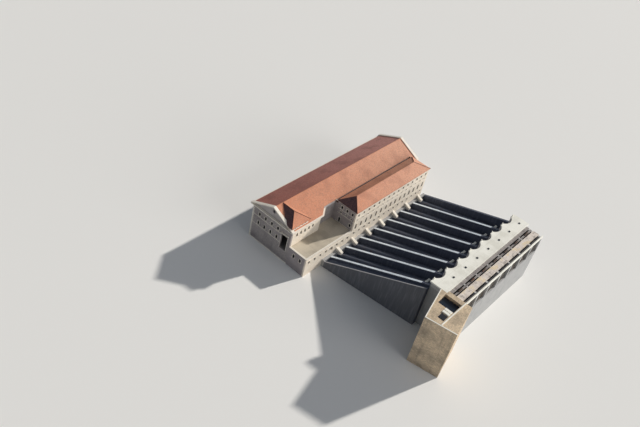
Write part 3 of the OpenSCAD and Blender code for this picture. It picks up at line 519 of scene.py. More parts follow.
@dataclass(frozen=True)
class Paint:
    """Painted or bare metal with rust in patches."""

    name: str
    base: Colour
    rust: Colour
    worn: float = 0.4
    roughness: float = 0.5

    def material(self) -> bpy.types.Material:
        """Builds the finish."""
        g = Graph(self.name)
        patch = g.noise(5.0, 6.0)
        grain = g.noise(60.0, 3.0)
        rust = (patch + grain * 0.25).ramp(0.62, 0.82) * self.worn
        colour = g.mix(rust, self.base, self.rust)
        colour = g.mix(grain.ramp(0.5, 0.9) * 0.3, colour, tuple(c * 0.6 for c in self.base))
        return g.finish(colour, self.roughness + rust * 0.35, grain, 0.001, 0.3)


@dataclass(frozen=True)
class Panes:
    """Dark window glass, some panes paler with a painted sky reflection."""

    name: str
    dark: Colour
    sky: Colour
    width: float = 0.045
    height: float = 0.05

    def material(self) -> bpy.types.Material:
        """Builds the finish."""
        g = Graph(self.name)
        x, y, z = g.place()
        pane = g.chance(((x + y) / self.width).floor(), (z / self.height).floor())
        ripple = g.noise(12.0, 2.0)
        # Painted reflection: the paler panes take the sky colour.
        colour = g.mix(pane.ramp(0.4, 1.0) * 0.5, self.dark, self.sky)
        return g.finish(colour, 0.12 + pane * 0.15, ripple, 0.001, 0.2)


@dataclass(frozen=True)
class Water:
    """Still water with a faint ripple."""

    name: str
    deep: Colour
    pale: Colour

    def material(self) -> bpy.types.Material:
        """Builds the finish."""
        g = Graph(self.name)
        cloud = g.noise(3.0, 4.0)
        ripple = g.noise(26.0, 4.0)
        return g.finish(g.mix(cloud, self.deep, self.pale), 0.08, ripple, 0.002, 0.4)


@dataclass(frozen=True)
class Boards:
    """Weathered planks laid across the walkways, greyer and darker on the inner ones, partly as painted
    shade.
    """

    name: str
    base: Colour
    dark: Colour
    inner: Colour
    grime_and_shade: Colour
    worn: Colour
    inner_y: float
    width: float = 0.03
    length: float = 0.4

    def material(self) -> bpy.types.Material:
        """Builds the finish."""
        g = Graph(self.name)
        x, y, z = g.place()
        plank = x / self.width
        tone = g.chance(plank.floor(), (y / self.length).floor())
        grain = g.noise(1.0, 4.0, x * 60.0, y * 3.0, z * 60.0)
        gap = 1.0 - plank.fract().ramp(0.0, 0.12)
        cloud = g.noise(4.0, 5.0)
        # The inner walkway is darker, partly grime and partly painted shade.
        inner = y < self.inner_y
        base = g.mix(inner, self.base, self.inner)
        dark = g.mix(inner, self.dark, self.grime_and_shade)
        colour = g.mix(tone * 0.6, base, dark)
        colour = g.mix(grain.ramp(0.4, 0.8) * 0.4, colour, dark)
        colour = g.mix(cloud.ramp(0.5, 0.7) * 0.5, colour, dark)
        patch = g.noise(2.1, 3.0, x, y * 2.0, z)
        worn = (1.0 - patch.ramp(0.36, 0.48)) * (1.0 - inner)
        colour = g.mix(worn * 0.6, colour, self.worn)
        colour = g.mix(patch.ramp(0.54, 0.68) * 0.6, colour, self.grime_and_shade)
        colour = g.mix(gap * 0.8, colour, tuple(c * 0.3 for c in self.grime_and_shade))
        return g.finish(colour, 0.9, grain * 0.4 - gap, 0.002, 0.6)


@dataclass(frozen=True)
class Survey:
    """The station's driving sizes, in metres from the hall's far river corner."""

    mid_x: float = 4.88
    mid_y: float = 4.2935
    hall_l: float = 9.76
    hall_half: float = 1.243
    hall_wall: float = 0.1
    ridge: float = 2.643
    column: float = 0.4
    wing_far: float = 0.34
    wing_near: float = 6.47
    wing_back: float = 1.26
    front: float = 2.34
    wing_wall: float = 0.08
    wing_ridge_y: float = 1.757
    wing_eave: float = 2.2555
    wing_out: float = 0.03
    near_hip_run: float = 0.5638
    far_hip_run: float = 0.831
    tower_x: float = 9.245
    tower_eave: float = 2.2508
    tower_wall: float = 0.06
    rib_foot_y: float = 2.49
    rib_head_y: float = 7.05
    outer_rib_x: float = 0.63
    outer_rib_fan: float = 0.54 / 4.97
    head_x: float = 4.14
    head_step: float = 0.99
    bays: int = 7
    inner_walk_y: float = 8.65

    def at(self, x: float, y: float, z: float) -> Vector:
        """A point of the row frame from a point of the survey."""
        return Vector((x - self.mid_x, y - self.mid_y, z))

    def lane(self, number: float) -> float:
        """X of a lane at the intake."""
        return self.head_x + (number - self.bays / 2) * self.head_step


SITE = Survey()


class Finish(Enum):
    """The station's finishes."""

    # The last colour of each tile finish is the painted shade of slopes that face +X.
    TILES = ClayTiles(
        "sunlit_clay_tiles", srgb(212, 138, 102), srgb(150, 94, 72), srgb(230, 182, 156), srgb(42, 41, 62),
    )
    OLD_TILES = ClayTiles(
        "old_clay_tiles", srgb(170, 98, 82), srgb(122, 76, 68), srgb(226, 166, 156), srgb(42, 41, 62),
        fade=0.6,
    )
    RUBBLE = Masonry(
        "rubble_walls", srgb(176, 168, 164), srgb(150, 142, 142), srgb(196, 190, 188), srgb(106, 99, 102),
        plaster_z=1.99, slope=srgb(196, 128, 100),
    )
    CREAM = Masonry(
        "cream_walls", srgb(250, 241, 226), srgb(243, 231, 214), srgb(232, 220, 202), srgb(206, 188, 166),
        long=0.07, high=0.035, soiling=0.26, relief=0.0015,
    )
    # Painted shade: the wing's end walls and the annex's near wall are grey where the render is cream.
    GREY = Masonry(
        "shade_grey_end_walls", srgb(178, 170, 170), srgb(166, 158, 158), srgb(150, 142, 144),
        srgb(120, 112, 116), long=0.07, high=0.035, soiling=0.35, relief=0.0015,
    )
    TAN = Masonry(
        "tan_rubble", srgb(236, 214, 182), srgb(206, 184, 156), srgb(172, 158, 138), srgb(106, 98, 90),
        long=0.08, high=0.04, soiling=0.5, relief=0.004,
    )
    TRIM = Render("dressed_stone", srgb(240, 234, 222), srgb(214, 206, 194), srgb(176, 168, 158))
    SURROUND = Render("pale_surrounds", srgb(248, 242, 230), srgb(228, 218, 202), srgb(196, 184, 168))
    WALL = Render(
        "pale_concrete", srgb(200, 200, 200), srgb(168, 170, 172), srgb(124, 126, 126), board=0.25,
        amount=0.5, tide=2.4,
    )
    # Painted shade: the concrete of the bays and the service slope is dark and bluish.
    SLATE = Render(
        "shade_darkened_concrete", srgb(94, 103, 122), srgb(76, 84, 102), srgb(118, 126, 142), amount=0.5,
        roughness=0.7,
    )
    # The ribs' dark sides are painted shade, and the blue tint of their pale tops is painted skylight.
    RIBS = Crest(
        "rib_concrete", srgb(236, 246, 255), srgb(84, 91, 108), srgb(112, 119, 134),
        head_y=SITE.at(0, SITE.rib_head_y, 0).y,
        far_x=SITE.at(SITE.outer_rib_x, 0, 0).x + SITE.outer_rib_fan * (SITE.mid_y - SITE.rib_foot_y),
        skew=SITE.outer_rib_fan,
    )
    # The kerb's dark sides are painted shade, as on the ribs.
    KERB = Crest("kerb_concrete", srgb(186, 186, 188), srgb(104, 106, 112), srgb(134, 136, 140))
    FLOOR = Paving("floor_concrete", srgb(150, 148, 144), srgb(118, 116, 112), srgb(90, 88, 86))
    SCREED = Paving(
        "annex_screed", srgb(202, 192, 174), srgb(164, 154, 138), srgb(140, 132, 120), square=0.5,
        amount=0.6,
    )
    DECK = Paving(
        "bleached_deck", srgb(250, 249, 240), srgb(214, 212, 200), srgb(182, 180, 168), square=0.495,
    )
    BOARDS = Boards(
        "weathered_boards", srgb(250, 240, 230), srgb(206, 194, 184), srgb(172, 166, 163),
        srgb(112, 106, 106), srgb(244, 222, 178), inner_y=SITE.at(0, SITE.inner_walk_y, 0).y,
    )
    # Painted shade: the valley gutter's lead is dark brown.
    LEAD = Paint("shade_dark_sheet_lead", srgb(84, 62, 58), srgb(58, 46, 44), worn=0.5, roughness=0.7)
    FRAMES = Paint("window_frames", srgb(84, 74, 68), srgb(58, 48, 44), worn=0.4, roughness=0.6)
    STEEL = Paint("dark_steel", srgb(38, 44, 58), srgb(84, 62, 52), worn=0.3, roughness=0.5)
    PIPES = Paint("penstock_paint", srgb(90, 97, 112), srgb(104, 84, 72), worn=0.35, roughness=0.6)
    RACKS = Paint("rack_steel", srgb(140, 136, 130), srgb(128, 96, 74), worn=0.5, roughness=0.7)
    RUST = Paint("rusty_machines", srgb(108, 92, 84), srgb(130, 78, 54), worn=0.7, roughness=0.65)
    GLASS = Panes("dark_panes", srgb(20, 24, 32), srgb(58, 66, 78))
    WATER = Water("still_water", srgb(26, 32, 46), srgb(44, 54, 66))


class Paints:
    """Makes each finish once."""

    def __init__(self) -> None:
        """Starts with none made."""
        self.made: dict[Finish, bpy.types.Material] = {}

    def __call__(self, finish: Finish) -> bpy.types.Material:
        """The material of a finish."""
        if finish not in self.made:
            self.made[finish] = finish.value.material()
        return self.made[finish]


class Shape:
    """A mesh in the making, from bmesh operators."""

    def __init__(self, name: str) -> None:
        """Starts an empty mesh."""
        self.name = name
        self.bm = bmesh.new()

    def box(self, low: Point, high: Point, turn: Matrix | None = None) -> None:
        """Adds a box.

        Args:
            low: lowest corner.
            high: highest corner.
            turn: a transform put on it after.
        """
        low, high = Vector(low), Vector(high)
        place = Matrix.Translation((low + high) / 2) @ Matrix.Diagonal((*(high - low), 1.0))
        bmesh.ops.create_cube(self.bm, size=1.0, matrix=(turn or Matrix()) @ place)

    def block(self, low: Point, high: Point) -> None:
        """Adds a box between two points of the survey."""
        self.box(SITE.at(*low), SITE.at(*high))

    def rod(self, start: Point, end: Point, radius: float, sides: int = 8) -> None:
        """Adds a round bar between two points of the survey.

        Args:
            start: middle of one end.
            end: middle of the other.
            radius: radius.
            sides: number of sides.
        """
        foot, head = SITE.at(*start), SITE.at(*end)
        turn = (head - foot).to_track_quat("Z", "Y").to_matrix().to_4x4()
        bmesh.ops.create_cone(
            self.bm,
            cap_ends=True,
            segments=sides,
            radius1=radius,
            radius2=radius,
            depth=(head - foot).length,
            matrix=Matrix.Translation((foot + head) / 2) @ turn,
        )

    def stamp(self, template: bpy.types.Mesh, place: Matrix) -> None:
        """Adds a copy of a mesh.

        Args:
            template: the mesh.
            place: where the copy goes.
        """
        count = len(self.bm.verts)
        self.bm.from_mesh(template)
        self.bm.verts.ensure_lookup_table()
        bmesh.ops.transform(self.bm, matrix=place, verts=self.bm.verts[count:])

    def mesh(self) -> bpy.types.Mesh:
        """Turns it into a mesh with faces that point outwards."""
        bmesh.ops.recalc_face_normals(self.bm, faces=self.bm.faces)
        data = bpy.data.meshes.new(self.name)
        self.bm.to_mesh(data)
        self.bm.free()
        return data

    def piece(self, material: bpy.types.Material, slot: str) -> bpy.types.Object:
        """Finishes it as a piece of the station.

        Args:
            material: its finish.
            slot: not used.

        Returns:
            The new object.
        """
        data = self.mesh()
        data.materials.append(material)
        piece = bpy.data.objects.new(self.name, data)
        bpy.context.scene.collection.objects.link(piece)
        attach(piece, "root")
        LOG.info("%s: %d faces", self.name, len(data.polygons))
        return piece


@dataclass(frozen=True)
class Opening:
    """One kind of window or door, with its bars and its surround."""

    sill: float
    width: float
    height: float
    arched: bool = False
    glazed: bool = True
    stile: float = 0.005
    bar: float = 0.0025
    pane: float = 0.055
    band: float = 0.018

    @property
    def spring(self) -> float:
        """Height above the sill where the sides end."""
        return self.height - self.width / 2 if self.arched else self.height

    def arc(self, shape: Shape, radius: float, thick: float, y0: float, y1: float, parts: int) -> None:
        """Adds blocks along the arch.

        Args:
            shape: the mesh that takes them.
            radius: radius of their middle line.
            thick: their thickness across the arch.
            y0: their outer face.
            y1: their inner face.
            parts: number of blocks.
        """
        step = math.pi / parts
        half, inner, outer = (radius + thick / 2) * math.tan(step / 2), radius - thick / 2, radius + thick / 2
        for part in range(parts):
            angle = step * (part + 0.5) - math.pi / 2
            turn = Matrix.Translation((0, 0, self.spring)) @ Matrix.Rotation(angle, 4, "Y")
            shape.box((-half, y0, inner), (half, y1, outer), turn)

    def bars(self, face: float) -> bpy.types.Mesh:
        """Frame and glazing bars, at Y = 0 on the pane's outer face.

        Args:
            face: depth of the bars.

        Returns:
            The mesh, standing on its sill.
        """
        shape = Shape("bars")
        half, stile, top = self.width / 2, self.stile, self.spring
        for side in (-1, 1):
            low, high = sorted((side * (half - stile), side * half))
            shape.box((low, -face, 0), (high, 0, top))
        for z in (0, top - stile):
            shape.box((-half + stile, -face, z), (half - stile, 0, z + stile))
        rise = top + (half - stile if self.arched else -stile)
        shape.box((-self.bar, -face * 0.8, stile), (self.bar, 0, rise))
        count = max(1, round(top / self.pane))
        for part in range(1, count):
            z = top * part / count
            for side in (-1, 1):
                low, high = sorted((side * self.bar, side * (half - stile)))
                shape.box((low, -face * 0.7, z - 0.002), (high, 0, z + 0.002))
        if self.arched:
            self.arc(shape, half - stile / 2, stile, -face, 0, 8)
        return shape.mesh()

    def surround(self, out: float) -> bpy.types.Mesh:
        """Stone surround with its sill and key, at Y = 0 on the wall's face.

        Args:
            out: how far it stands out.

        Returns:
            The mesh, standing on its sill's height.
        """
        shape = Shape("surround")
        half, band, top = self.width / 2, self.band, self.spring
        for side in (-1, 1):
            low, high = sorted((side * half, side * (half + band)))
            shape.box((low, -out, 0), (high, 0, top))
        if self.glazed:
            reach = half + band + 0.008
            shape.box((-reach, -out * 2.4, -0.014), (reach, 0, 0))
        if self.arched:
            self.arc(shape, half + band / 2, band, -out, 0, 9)
            shape.box((-0.011, -out * 1.8, top + half), (0.011, 0, top + half + band + 0.008))
        else:
            shape.box((-half - band, -out, top), (half + band, 0, top + band))
        return shape.mesh()


@dataclass(frozen=True)
class Wall:
    """The outer face of a wall with its openings."""

    start: tuple[float, float]
    turn: float
    thick: float
    rows: tuple[Opening, ...]
    columns: tuple[float, ...]

    def place(self, along: float, sill: float, depth: float) -> Matrix:
        """Where an opening's template goes.

        Args:
            along: distance from the wall's start.
            sill: height.
            depth: how far in from the face.

        Returns:
            The transform.
        """
        base = Matrix.Translation(SITE.at(*self.start, 0))
        return base @ Matrix.Rotation(self.turn, 4, "Z") @ Matrix.Translation((along, depth, sill))


def spread(middle: float, count: int, step: float) -> tuple[float, ...]:
    """Places of evenly spaced columns.

    Args:
        middle: middle of the row.
        count: number of columns.
        step: spacing.

    Returns:
        Each column's place.
    """
    return tuple(middle + (k - (count - 1) / 2) * step for k in range(count))


@dataclass(frozen=True)
class Glazing:
    """Window bars and stone surrounds of the whole station."""

    attic: Opening = Opening(1.8697, 0.09, 0.07)
    main: Opening = Opening(1.5097, 0.13, 0.21, arched=True)
    low: Opening = Opening(0.9897, 0.13, 0.23, arched=True)
    loading: Opening = Opening(0.65, 0.4, 0.92, glazed=False)
    tower: Opening = Opening(2.11, 0.09, 0.075)
    ground: Opening = Opening(0.7705, 0.125, 0.15)
    tall: Opening = Opening(1.1105, 0.125, 0.33, arched=True)
    small: Opening = Opening(1.6405, 0.09, 0.09)
    top: Opening = Opening(1.8905, 0.125, 0.17)
    landing: Opening = Opening(1.2005, 0.125, 0.19)
    roof_door: Opening = Opening(1.035, 0.125, 0.33, glazed=False)
    annex: Opening = Opening(0.71, 0.13, 0.165)
    annex_door: Opening = Opening(0.65, 0.22, 0.225, glazed=False)
    annex_arch: Opening = Opening(0.65, 0.13, 0.225, arched=True)
    loading_y: float = 0.86
    pavilion_columns: tuple[float, ...] = spread(0.955, 5, 0.275)
    tower_step: float = 0.225
    wing_ends: float = 0.45
    end_step: float = 0.33
    annex_columns: tuple[float, ...] = spread(1.645, 8, 0.4)
    annex_door_at: int = 4
    bar_depth: float = 0.006
    stone_out: float = 0.005
    pane_half: float = 0.004

    def hall(self) -> list[Wall]:
        """The hall's long walls and its attic tower."""
        s, start, back = SITE, (SITE.hall_l, SITE.hall_half), math.pi
        river = spread(s.hall_l / 2, 24, s.column)
        tower = spread(s.hall_l - s.tower_x, 4, self.tower_step)
        return [
            Wall((0, -s.hall_half), 0, s.hall_wall, (self.attic, self.main, self.low), river),
            Wall(start, back, s.hall_wall, (self.attic, self.main), self.pavilion_columns),
            Wall(start, back, s.tower_wall, (self.tower,), tower),
        ]

    def gables(self) -> list[Wall]:
        """The hall's near and far gables."""
        s, near, five = SITE, math.pi / 2, spread(0, 5, SITE.column)
        four = spread(-s.column / 2, 4, s.column)
        return [
            Wall((s.hall_l, 0), near, s.hall_wall, (self.attic,), five),
            Wall((s.hall_l, 0), near, s.hall_wall, (self.main, self.low), four),
            Wall((s.hall_l, 0), near, s.hall_wall, (self.loading,), (self.loading_y,)),
            Wall((0, 0), -near, s.hall_wall, (self.attic, self.main, self.low), five),
        ]

    def wing(self) -> list[Wall]:
        """The wing's front and its two ends."""
        s, near, end_mid = SITE, math.pi / 2, (SITE.hall_half + SITE.front) / 2
        long, end, three = s.wing_near - s.wing_far, (s.wing_near, end_mid), spread(0, 3, self.end_step)
        front = spread(long / 2, 15, (long - self.wing_ends) / 14)
        storeys = (self.ground, self.tall, self.small, self.top)
        return [
            Wall((s.wing_near, s.front), math.pi, s.wing_wall, storeys, front),
            Wall(end, near, s.wing_wall, (self.small, self.top), three),
            Wall(end, near, s.wing_wall, (self.landing,), three[2:]),
            Wall(end, near, s.wing_wall, (self.roof_door,), three[:1]),
            Wall((s.wing_far, end_mid), -near, s.wing_wall, storeys, three),
        ]

    def annexes(self) -> list[Wall]:
        """The annex's front and near walls."""
        s, start, door = SITE, (SITE.hall_l, SITE.front), self.annex_door_at
        windows = self.annex_columns[:door] + self.annex_columns[door + 1 :]
        near_start = (s.hall_l, (s.hall_half + s.front) / 2)
        return [
            Wall(start, math.pi, s.wing_wall, (self.annex,), windows),
            Wall(start, math.pi, s.wing_wall, (self.annex_door,), (self.annex_columns[door],)),
            Wall(near_start, math.pi / 2, s.wing_wall, (self.annex_arch,), spread(0, 2, s.column)),
        ]

    def build(self, paints: Paints) -> None:
        """Makes the bars and surrounds.

        Args:
            paints: the station's materials.
        """
        groups = {"hall": self.hall(), "gable": self.gables(), "wing": self.wing(), "annex": self.annexes()}
        kinds: dict[Opening, tuple[bpy.types.Mesh, bpy.types.Mesh]] = {}
        for group, walls in groups.items():
            bars, stones = Shape(f"{group}_window_bars"), Shape(f"{group}_surrounds")
            for wall in walls:
                for row in wall.rows:
                    if row not in kinds:
                        kinds[row] = (row.bars(self.bar_depth), row.surround(self.stone_out))
                    for along in wall.columns:
                        if row.glazed:
                            pane = wall.thick / 2 - self.pane_half
                            bars.stamp(kinds[row][0], wall.place(along, row.sill, pane))
                        stones.stamp(kinds[row][1], wall.place(along, row.sill, 0))
            bars.piece(paints(Finish.FRAMES), "dark_glass")
            stones.piece(paints(Finish.SURROUND), "pale_stone")


@dataclass(frozen=True)
class Ridges:
    """Half-round tiles along the ridges and hips of the three roofs."""

    radius: float = 0.02
    length: float = 0.045
    overlap: float = 1.12
    sides: int = 10
    hall_far: float = 0.045
    hall_near: float = 9.715
    tower_start: float = 0.02
    tower_top_y: float = 0.721
    tower_eave_y: float = 1.283
    tower_half: float = 0.635

    def cap(self) -> bpy.types.Mesh:
        """One half-round cap of unit length along X, a little wider at its lower end."""
        shape = Shape("cap")
        turn = Matrix.Rotation(math.pi / 2, 4, "Y")
        made = bmesh.ops.create_cone(
            shape.bm,
            cap_ends=True,
            segments=self.sides,
            radius1=1.15,
            radius2=0.95,
            depth=1.0,
            matrix=Matrix.Translation((0.5, 0, 0)) @ turn,
        )
        bmesh.ops.bisect_plane(
            shape.bm,
            geom=made["verts"] + shape.bm.edges[:] + shape.bm.faces[:],
            plane_co=(0, 0, -0.35),
            plane_no=(0, 0, -1),
            clear_outer=True,
        )
        bmesh.ops.holes_fill(shape.bm, edges=shape.bm.edges, sides=0)
        return shape.mesh()

    def lay(self, shape: Shape, cap: bpy.types.Mesh, start: Point, end: Point) -> None:
        """Lays a row of caps from its lower end to its upper.

        Args:
            shape: the mesh that takes them.
            cap: the cap.
            start: the lower end.
            end: the upper end.
        """
        low, high = SITE.at(*start), SITE.at(*end)
        count = max(1, round((high - low).length / self.length))
        step = (high - low).length / count
        x = (high - low).normalized()
        y = Vector((0, 0, 1)).cross(x).normalized()
        frame = Matrix((x, y, x.cross(y))).transposed().to_4x4()
        scale = Matrix.Diagonal((step * self.overlap, self.radius, self.radius, 1.0))
        for part in range(count):
            shape.stamp(cap, Matrix.Translation(low + x * (step * part)) @ frame @ scale)

    def rows(self) -> list[tuple[Point, Point]]:
        """The ends of every ridge and hip."""
        s, ridge = SITE, SITE.ridge
        x0, x1 = s.wing_far - s.wing_out, s.wing_near + s.wing_out
        y0, y1 = 2 * s.wing_ridge_y - s.front - s.wing_out, s.front + s.wing_out
        a, b = x0 + s.far_hip_run, x1 - s.near_hip_run
        tower_top = (s.tower_x, self.tower_top_y, ridge)
        rows = [
            ((self.hall_far, 0, ridge), (self.hall_near, 0, ridge)),
            ((a, s.wing_ridge_y, ridge), (b, s.wing_ridge_y, ridge)),
            ((s.tower_x, self.tower_start, ridge), tower_top),
        ]
        for corner_x, top_x in ((x0, a), (x1, b)):
            for corner_y in (y0, y1):
                rows.append(((corner_x, corner_y, s.wing_eave), (top_x, s.wing_ridge_y, ridge)))
        for side in (-1, 1):
            corner = (s.tower_x + side * self.tower_half, self.tower_eave_y, s.tower_eave)
            rows.append((corner, tower_top))
        return rows

    def build(self, paints: Paints) -> None:
        """Makes all the caps as one piece."""
        shape, cap = Shape("ridge_tiles"), self.cap()
        for start, end in self.rows():
            self.lay(shape, cap, start, end)
        shape.piece(paints(Finish.TILES), "roof_tiles")


@dataclass(frozen=True)
class Trim:
    """String courses, plinth and quoins on the walls."""

    out: float = 0.012
    courses: tuple[float, ...] = (1.44, 0.93)
    course_h: float = 0.022
    plinth_h: float = 0.06
    door_y: float = 0.62
    wing_courses: tuple[float, ...] = (1.055, 1.585, 1.83)
    wing_course_h: float = 0.016
    annex_course: tuple[float, float] = (0.93, 0.95)
    quoin_top: float = 1.92
    quoin_h: float = 0.07
    quoin_gap: float = 0.004
    quoin_out: float = 0.006
    quoin_long: float = 0.09
    quoin_short: float = 0.055

    def hall_band(self, shape: Shape, z0: float, z1: float, near_end: float) -> None:
        """Adds a band on the hall's river wall and its two gables.

        Args:
            shape: the mesh that takes it.
            z0: its lower edge.
            z1: its upper edge.
            near_end: Y where it ends on the near gable.
        """
        half, end, out = SITE.hall_half, SITE.hall_l, self.out
        shape.block((-out, -half - out, z0), (end + out, -half, z1))
        shape.block((-out, -half, z0), (0, half, z1))
        shape.block((end, -half, z0), (end + out, near_end, z1))

    def quoins(self, shape: Shape, x: float, y: float, sx: int, sy: int) -> None:
        """Adds corner blocks, long and short by turns.

        Args:
            shape: the mesh that takes them.
            x: corner's X.
            y: corner's Y.
            sx: side to which the corner faces along X.
            sy: side to which it faces along Y.
        """
        for k in range(int((self.quoin_top - 0.1) / self.quoin_h)):
            z = self.plinth_h + k * self.quoin_h
            a, b = self.quoin_short, self.quoin_long
            if k % 2:
                a, b = b, a
            xs = sorted((x + sx * self.quoin_out, x - sx * a))
            ys = sorted((y + sy * self.quoin_out, y - sy * b))
            shape.block((xs[0], ys[0], z), (xs[1], ys[1], z + self.quoin_h - self.quoin_gap))

    def build(self, paints: Paints) -> None:
        """Makes the bands and the quoins."""
        s, out = SITE, self.out
        bands, corners = Shape("string_courses"), Shape("quoins")
        for z in self.courses:
            self.hall_band(bands, z, z + self.course_h, self.door_y)
        self.hall_band(bands, 0, self.plinth_h, s.hall_half)
        for z in self.wing_courses:
            top = z + self.wing_course_h
            bands.block((s.wing_far, s.front, z), (s.wing_near, s.front + out, top))
            for x in (s.wing_near, s.wing_far - out):
                bands.block((x, s.wing_back, z), (x + out, s.front + out, top))
        low, high = self.annex_course
        bands.block((s.wing_near, s.front, low), (s.hall_l + out, s.front + out, high))
        bands.piece(paints(Finish.TRIM), "pale_stone")
        for x, y, sx, sy in ((0, -1, -1, -1), (s.hall_l, -1, 1, -1), (0, 1, -1, 1)):
            self.quoins(corners, x, y * s.hall_half, sx, sy)
        corners.piece(paints(Finish.TRIM), "pale_stone")


@dataclass(frozen=True)
class RackHouse:
    """Racks, gates and hoists of the intake, with the water and the concrete round them."""

    pier: float = 0.11
    sill: float = 1.82
    top: float = 2.64
    deck: float = 2.77
    rack_foot: float = 9.16
    rack_lean: float = 0.06
    rack_bars: int = 34
    gate_y: float = 8.59
    gate_half: float = 0.02
    gate_rib: float = 0.012
    hatch_x: float = -0.32
    hatch_y: float = 7.99
    water: float = 2.46
    water_ys: tuple[float, float] = (8.611, 9.085)
    chamber: tuple[tuple[float, float], tuple[float, float]] = ((7.93, 8.33), (8.6, 9.16))
    chamber_zs: tuple[float, float] = (2.27, 2.62)
    parapet_ys: tuple[float, float] = (9.19, 9.24)
    kerb_end: float = 9.55
    kerb_h: float = 0.028
    rim: tuple[tuple[float, float], ...] = ((7.83, 8.01), (9.76, 8.5), (9.48, 9.95))
    collar_half: float = 0.15
    collar_ys: tuple[float, float] = (7.02, 7.12)
    collar_zs: tuple[float, float] = (1.73, 2.03)
    nose_y: float = 7.464
    post_half: float = 0.018
    post_h: float = 0.1

    def clear(self, number: int) -> tuple[float, float]:
        """The two sides of a bay between its piers."""
        return SITE.lane(number) + self.pier / 2, SITE.lane(number + 1) - self.pier / 2

    def racks(self, paints: Paints) -> None:
        """Upright bars on the canal side of the racks, with their cross bars."""
        shape = Shape("rack_bars")
        tilt = math.atan2(self.rack_lean, self.top - self.sill)
        length = (self.top - self.sill) / math.cos(tilt)
        for bay in range(SITE.bays):
            x0, x1 = self.clear(bay)
            foot = SITE.at((x0 + x1) / 2, self.rack_foot, self.sill)
            turn = Matrix.Translation(foot) @ Matrix.Rotation(tilt, 4, "X")
            for x in spread(0, self.rack_bars, (x1 - x0) / self.rack_bars):
                shape.box((x - 0.003, -0.001, 0), (x + 0.003, 0.014, length - 0.004), turn)
            half = (x1 - x0) / 2
            for z in (0.01, length * 0.33, length * 0.66, length - 0.03):
                shape.box((-half, -0.001, z), (half, 0.006, z + 0.012), turn)
        shape.piece(paints(Finish.RACKS), "dark_steel")

    def gates(self, paints: Paints) -> None:
        """Ribs on both faces of the gates, across and upright."""
        shape = Shape("gate_ribs")
        for bay in range(SITE.bays):
            x0, x1 = self.clear(bay)
            for side in (-1, 1):
                face = self.gate_y + side * self.gate_half
                y0, y1 = sorted((face, face + side * self.gate_rib))
                for k in range(7):
                    z = self.sill + 0.02 + k * 0.125
                    shape.block((x0, y0, z), (x1, y1, z + 0.018))
                for k in range(5):
                    x = x0 + 0.02 + k * (x1 - x0 - 0.055) / 4
                    shape.block((x, y0, self.sill), (x + 0.015, y1, self.top - 0.01))
        shape.piece(paints(Finish.STEEL), "dark_steel")

    def hoists(self, paints: Paints) -> None:
        """Gate hoists: base, two bearings, shaft, two drums, gear case and hand wheel."""
        shape, y = Shape("hoist_machines"), self.gate_y
        foot = self.top + 0.03
        base, axle, bearing, case = foot + 0.012, foot + 0.038, foot + 0.05, foot + 0.062
        for bay in range(SITE.bays):
            mid = SITE.lane(bay + 0.5)
            shape.block((mid - 0.15, y - 0.035, foot), (mid + 0.15, y + 0.035, base))
            for x in (mid - 0.14, mid + 0.115):
                shape.block((x, y - 0.03, base), (x + 0.025, y + 0.03, bearing))
            shape.rod((mid - 0.12, y, axle), (mid + 0.12, y, axle), 0.009, 12)
            for x in (mid - 0.1, mid + 0.06):
                shape.rod((x, y, axle), (x + 0.04, y, axle), 0.024, 16)
            shape.block((mid - 0.035, y - 0.03, base), (mid + 0.03, y + 0.03, case))
            shape.rod((mid, y, case), (mid, y, case + 0.008), 0.018, 16)
        bmesh.ops.bevel(
            shape.bm,
            geom=[e for e in shape.bm.edges if e.is_manifold and e.calc_face_angle(0) > 1.2],
            offset=0.0012,
            segments=1,
            profile=0.5,
            material=-1,
            affect="EDGES",
        )
        piece = shape.piece(paints(Finish.RUST), "rusty_steel")
        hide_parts("gate_hoists")

    def hatches(self, paints: Paints) -> None:
        """Hatch lids: a frame, a lid with ribs and a handle."""
        shape, y, z = Shape("hatch_lids"), self.hatch_y, self.deck
        frame, lid, rib = z + 0.02, z + 0.026, z + 0.029
        for bay in range(SITE.bays):
            x = SITE.lane(bay + 0.5) + self.hatch_x
            for half, low, high in ((0.045, z, frame), (0.04, frame, lid)):
                shape.block((x - half, y - half, low), (x + half, y + half, high))
            for at in (x - 0.026, x - 0.004, x + 0.018):
                shape.block((at, y - 0.036, lid), (at + 0.006, y + 0.036, rib))
            shape.rod((x - 0.012, y - 0.03, z + 0.03), (x + 0.012, y - 0.03, z + 0.03), 0.002)
        piece = shape.piece(paints(Finish.STEEL), "dark_steel")
        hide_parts("deck_hatches")

    def pools(self, paints: Paints) -> None:
        """Still water between the gates and the racks, and in the abutment's chamber."""
        shape = Shape("water_surface")
        for bay in range(SITE.bays):
            x0, x1 = self.clear(bay)
            shape.block((x0, self.water_ys[0], self.sill), (x1, self.water_ys[1], self.water))
        low, high = self.chamber
        shape.block((*low, self.chamber_zs[0]), (*high, self.chamber_zs[1]))
        shape.piece(paints(Finish.WATER), "dark_glass")

    def kerbs(self, paints: Paints) -> None:
        """Pale kerbs on the abutment: in the parapet's line and along two of its edges."""
        shape, deck = Shape("abutment_kerbs"), self.deck
        start, (y0, y1) = SITE.lane(SITE.bays) + self.pier / 2, self.parapet_ys
        shape.block((start, y0, deck), (self.kerb_end, y1, deck + self.kerb_h))
        for first, second in pairwise(self.rim):
            foot, edge = SITE.at(*first, deck), SITE.at(*second, deck) - SITE.at(*first, deck)
            turn = Matrix.Translation(foot) @ Matrix.Rotation(math.atan2(edge.y, edge.x), 4, "Z")
            shape.box((0.04, 0.004, 0), (edge.length - 0.004, 0.044, 0.02), turn)
        shape.piece(paints(Finish.DECK), "deck_concrete")

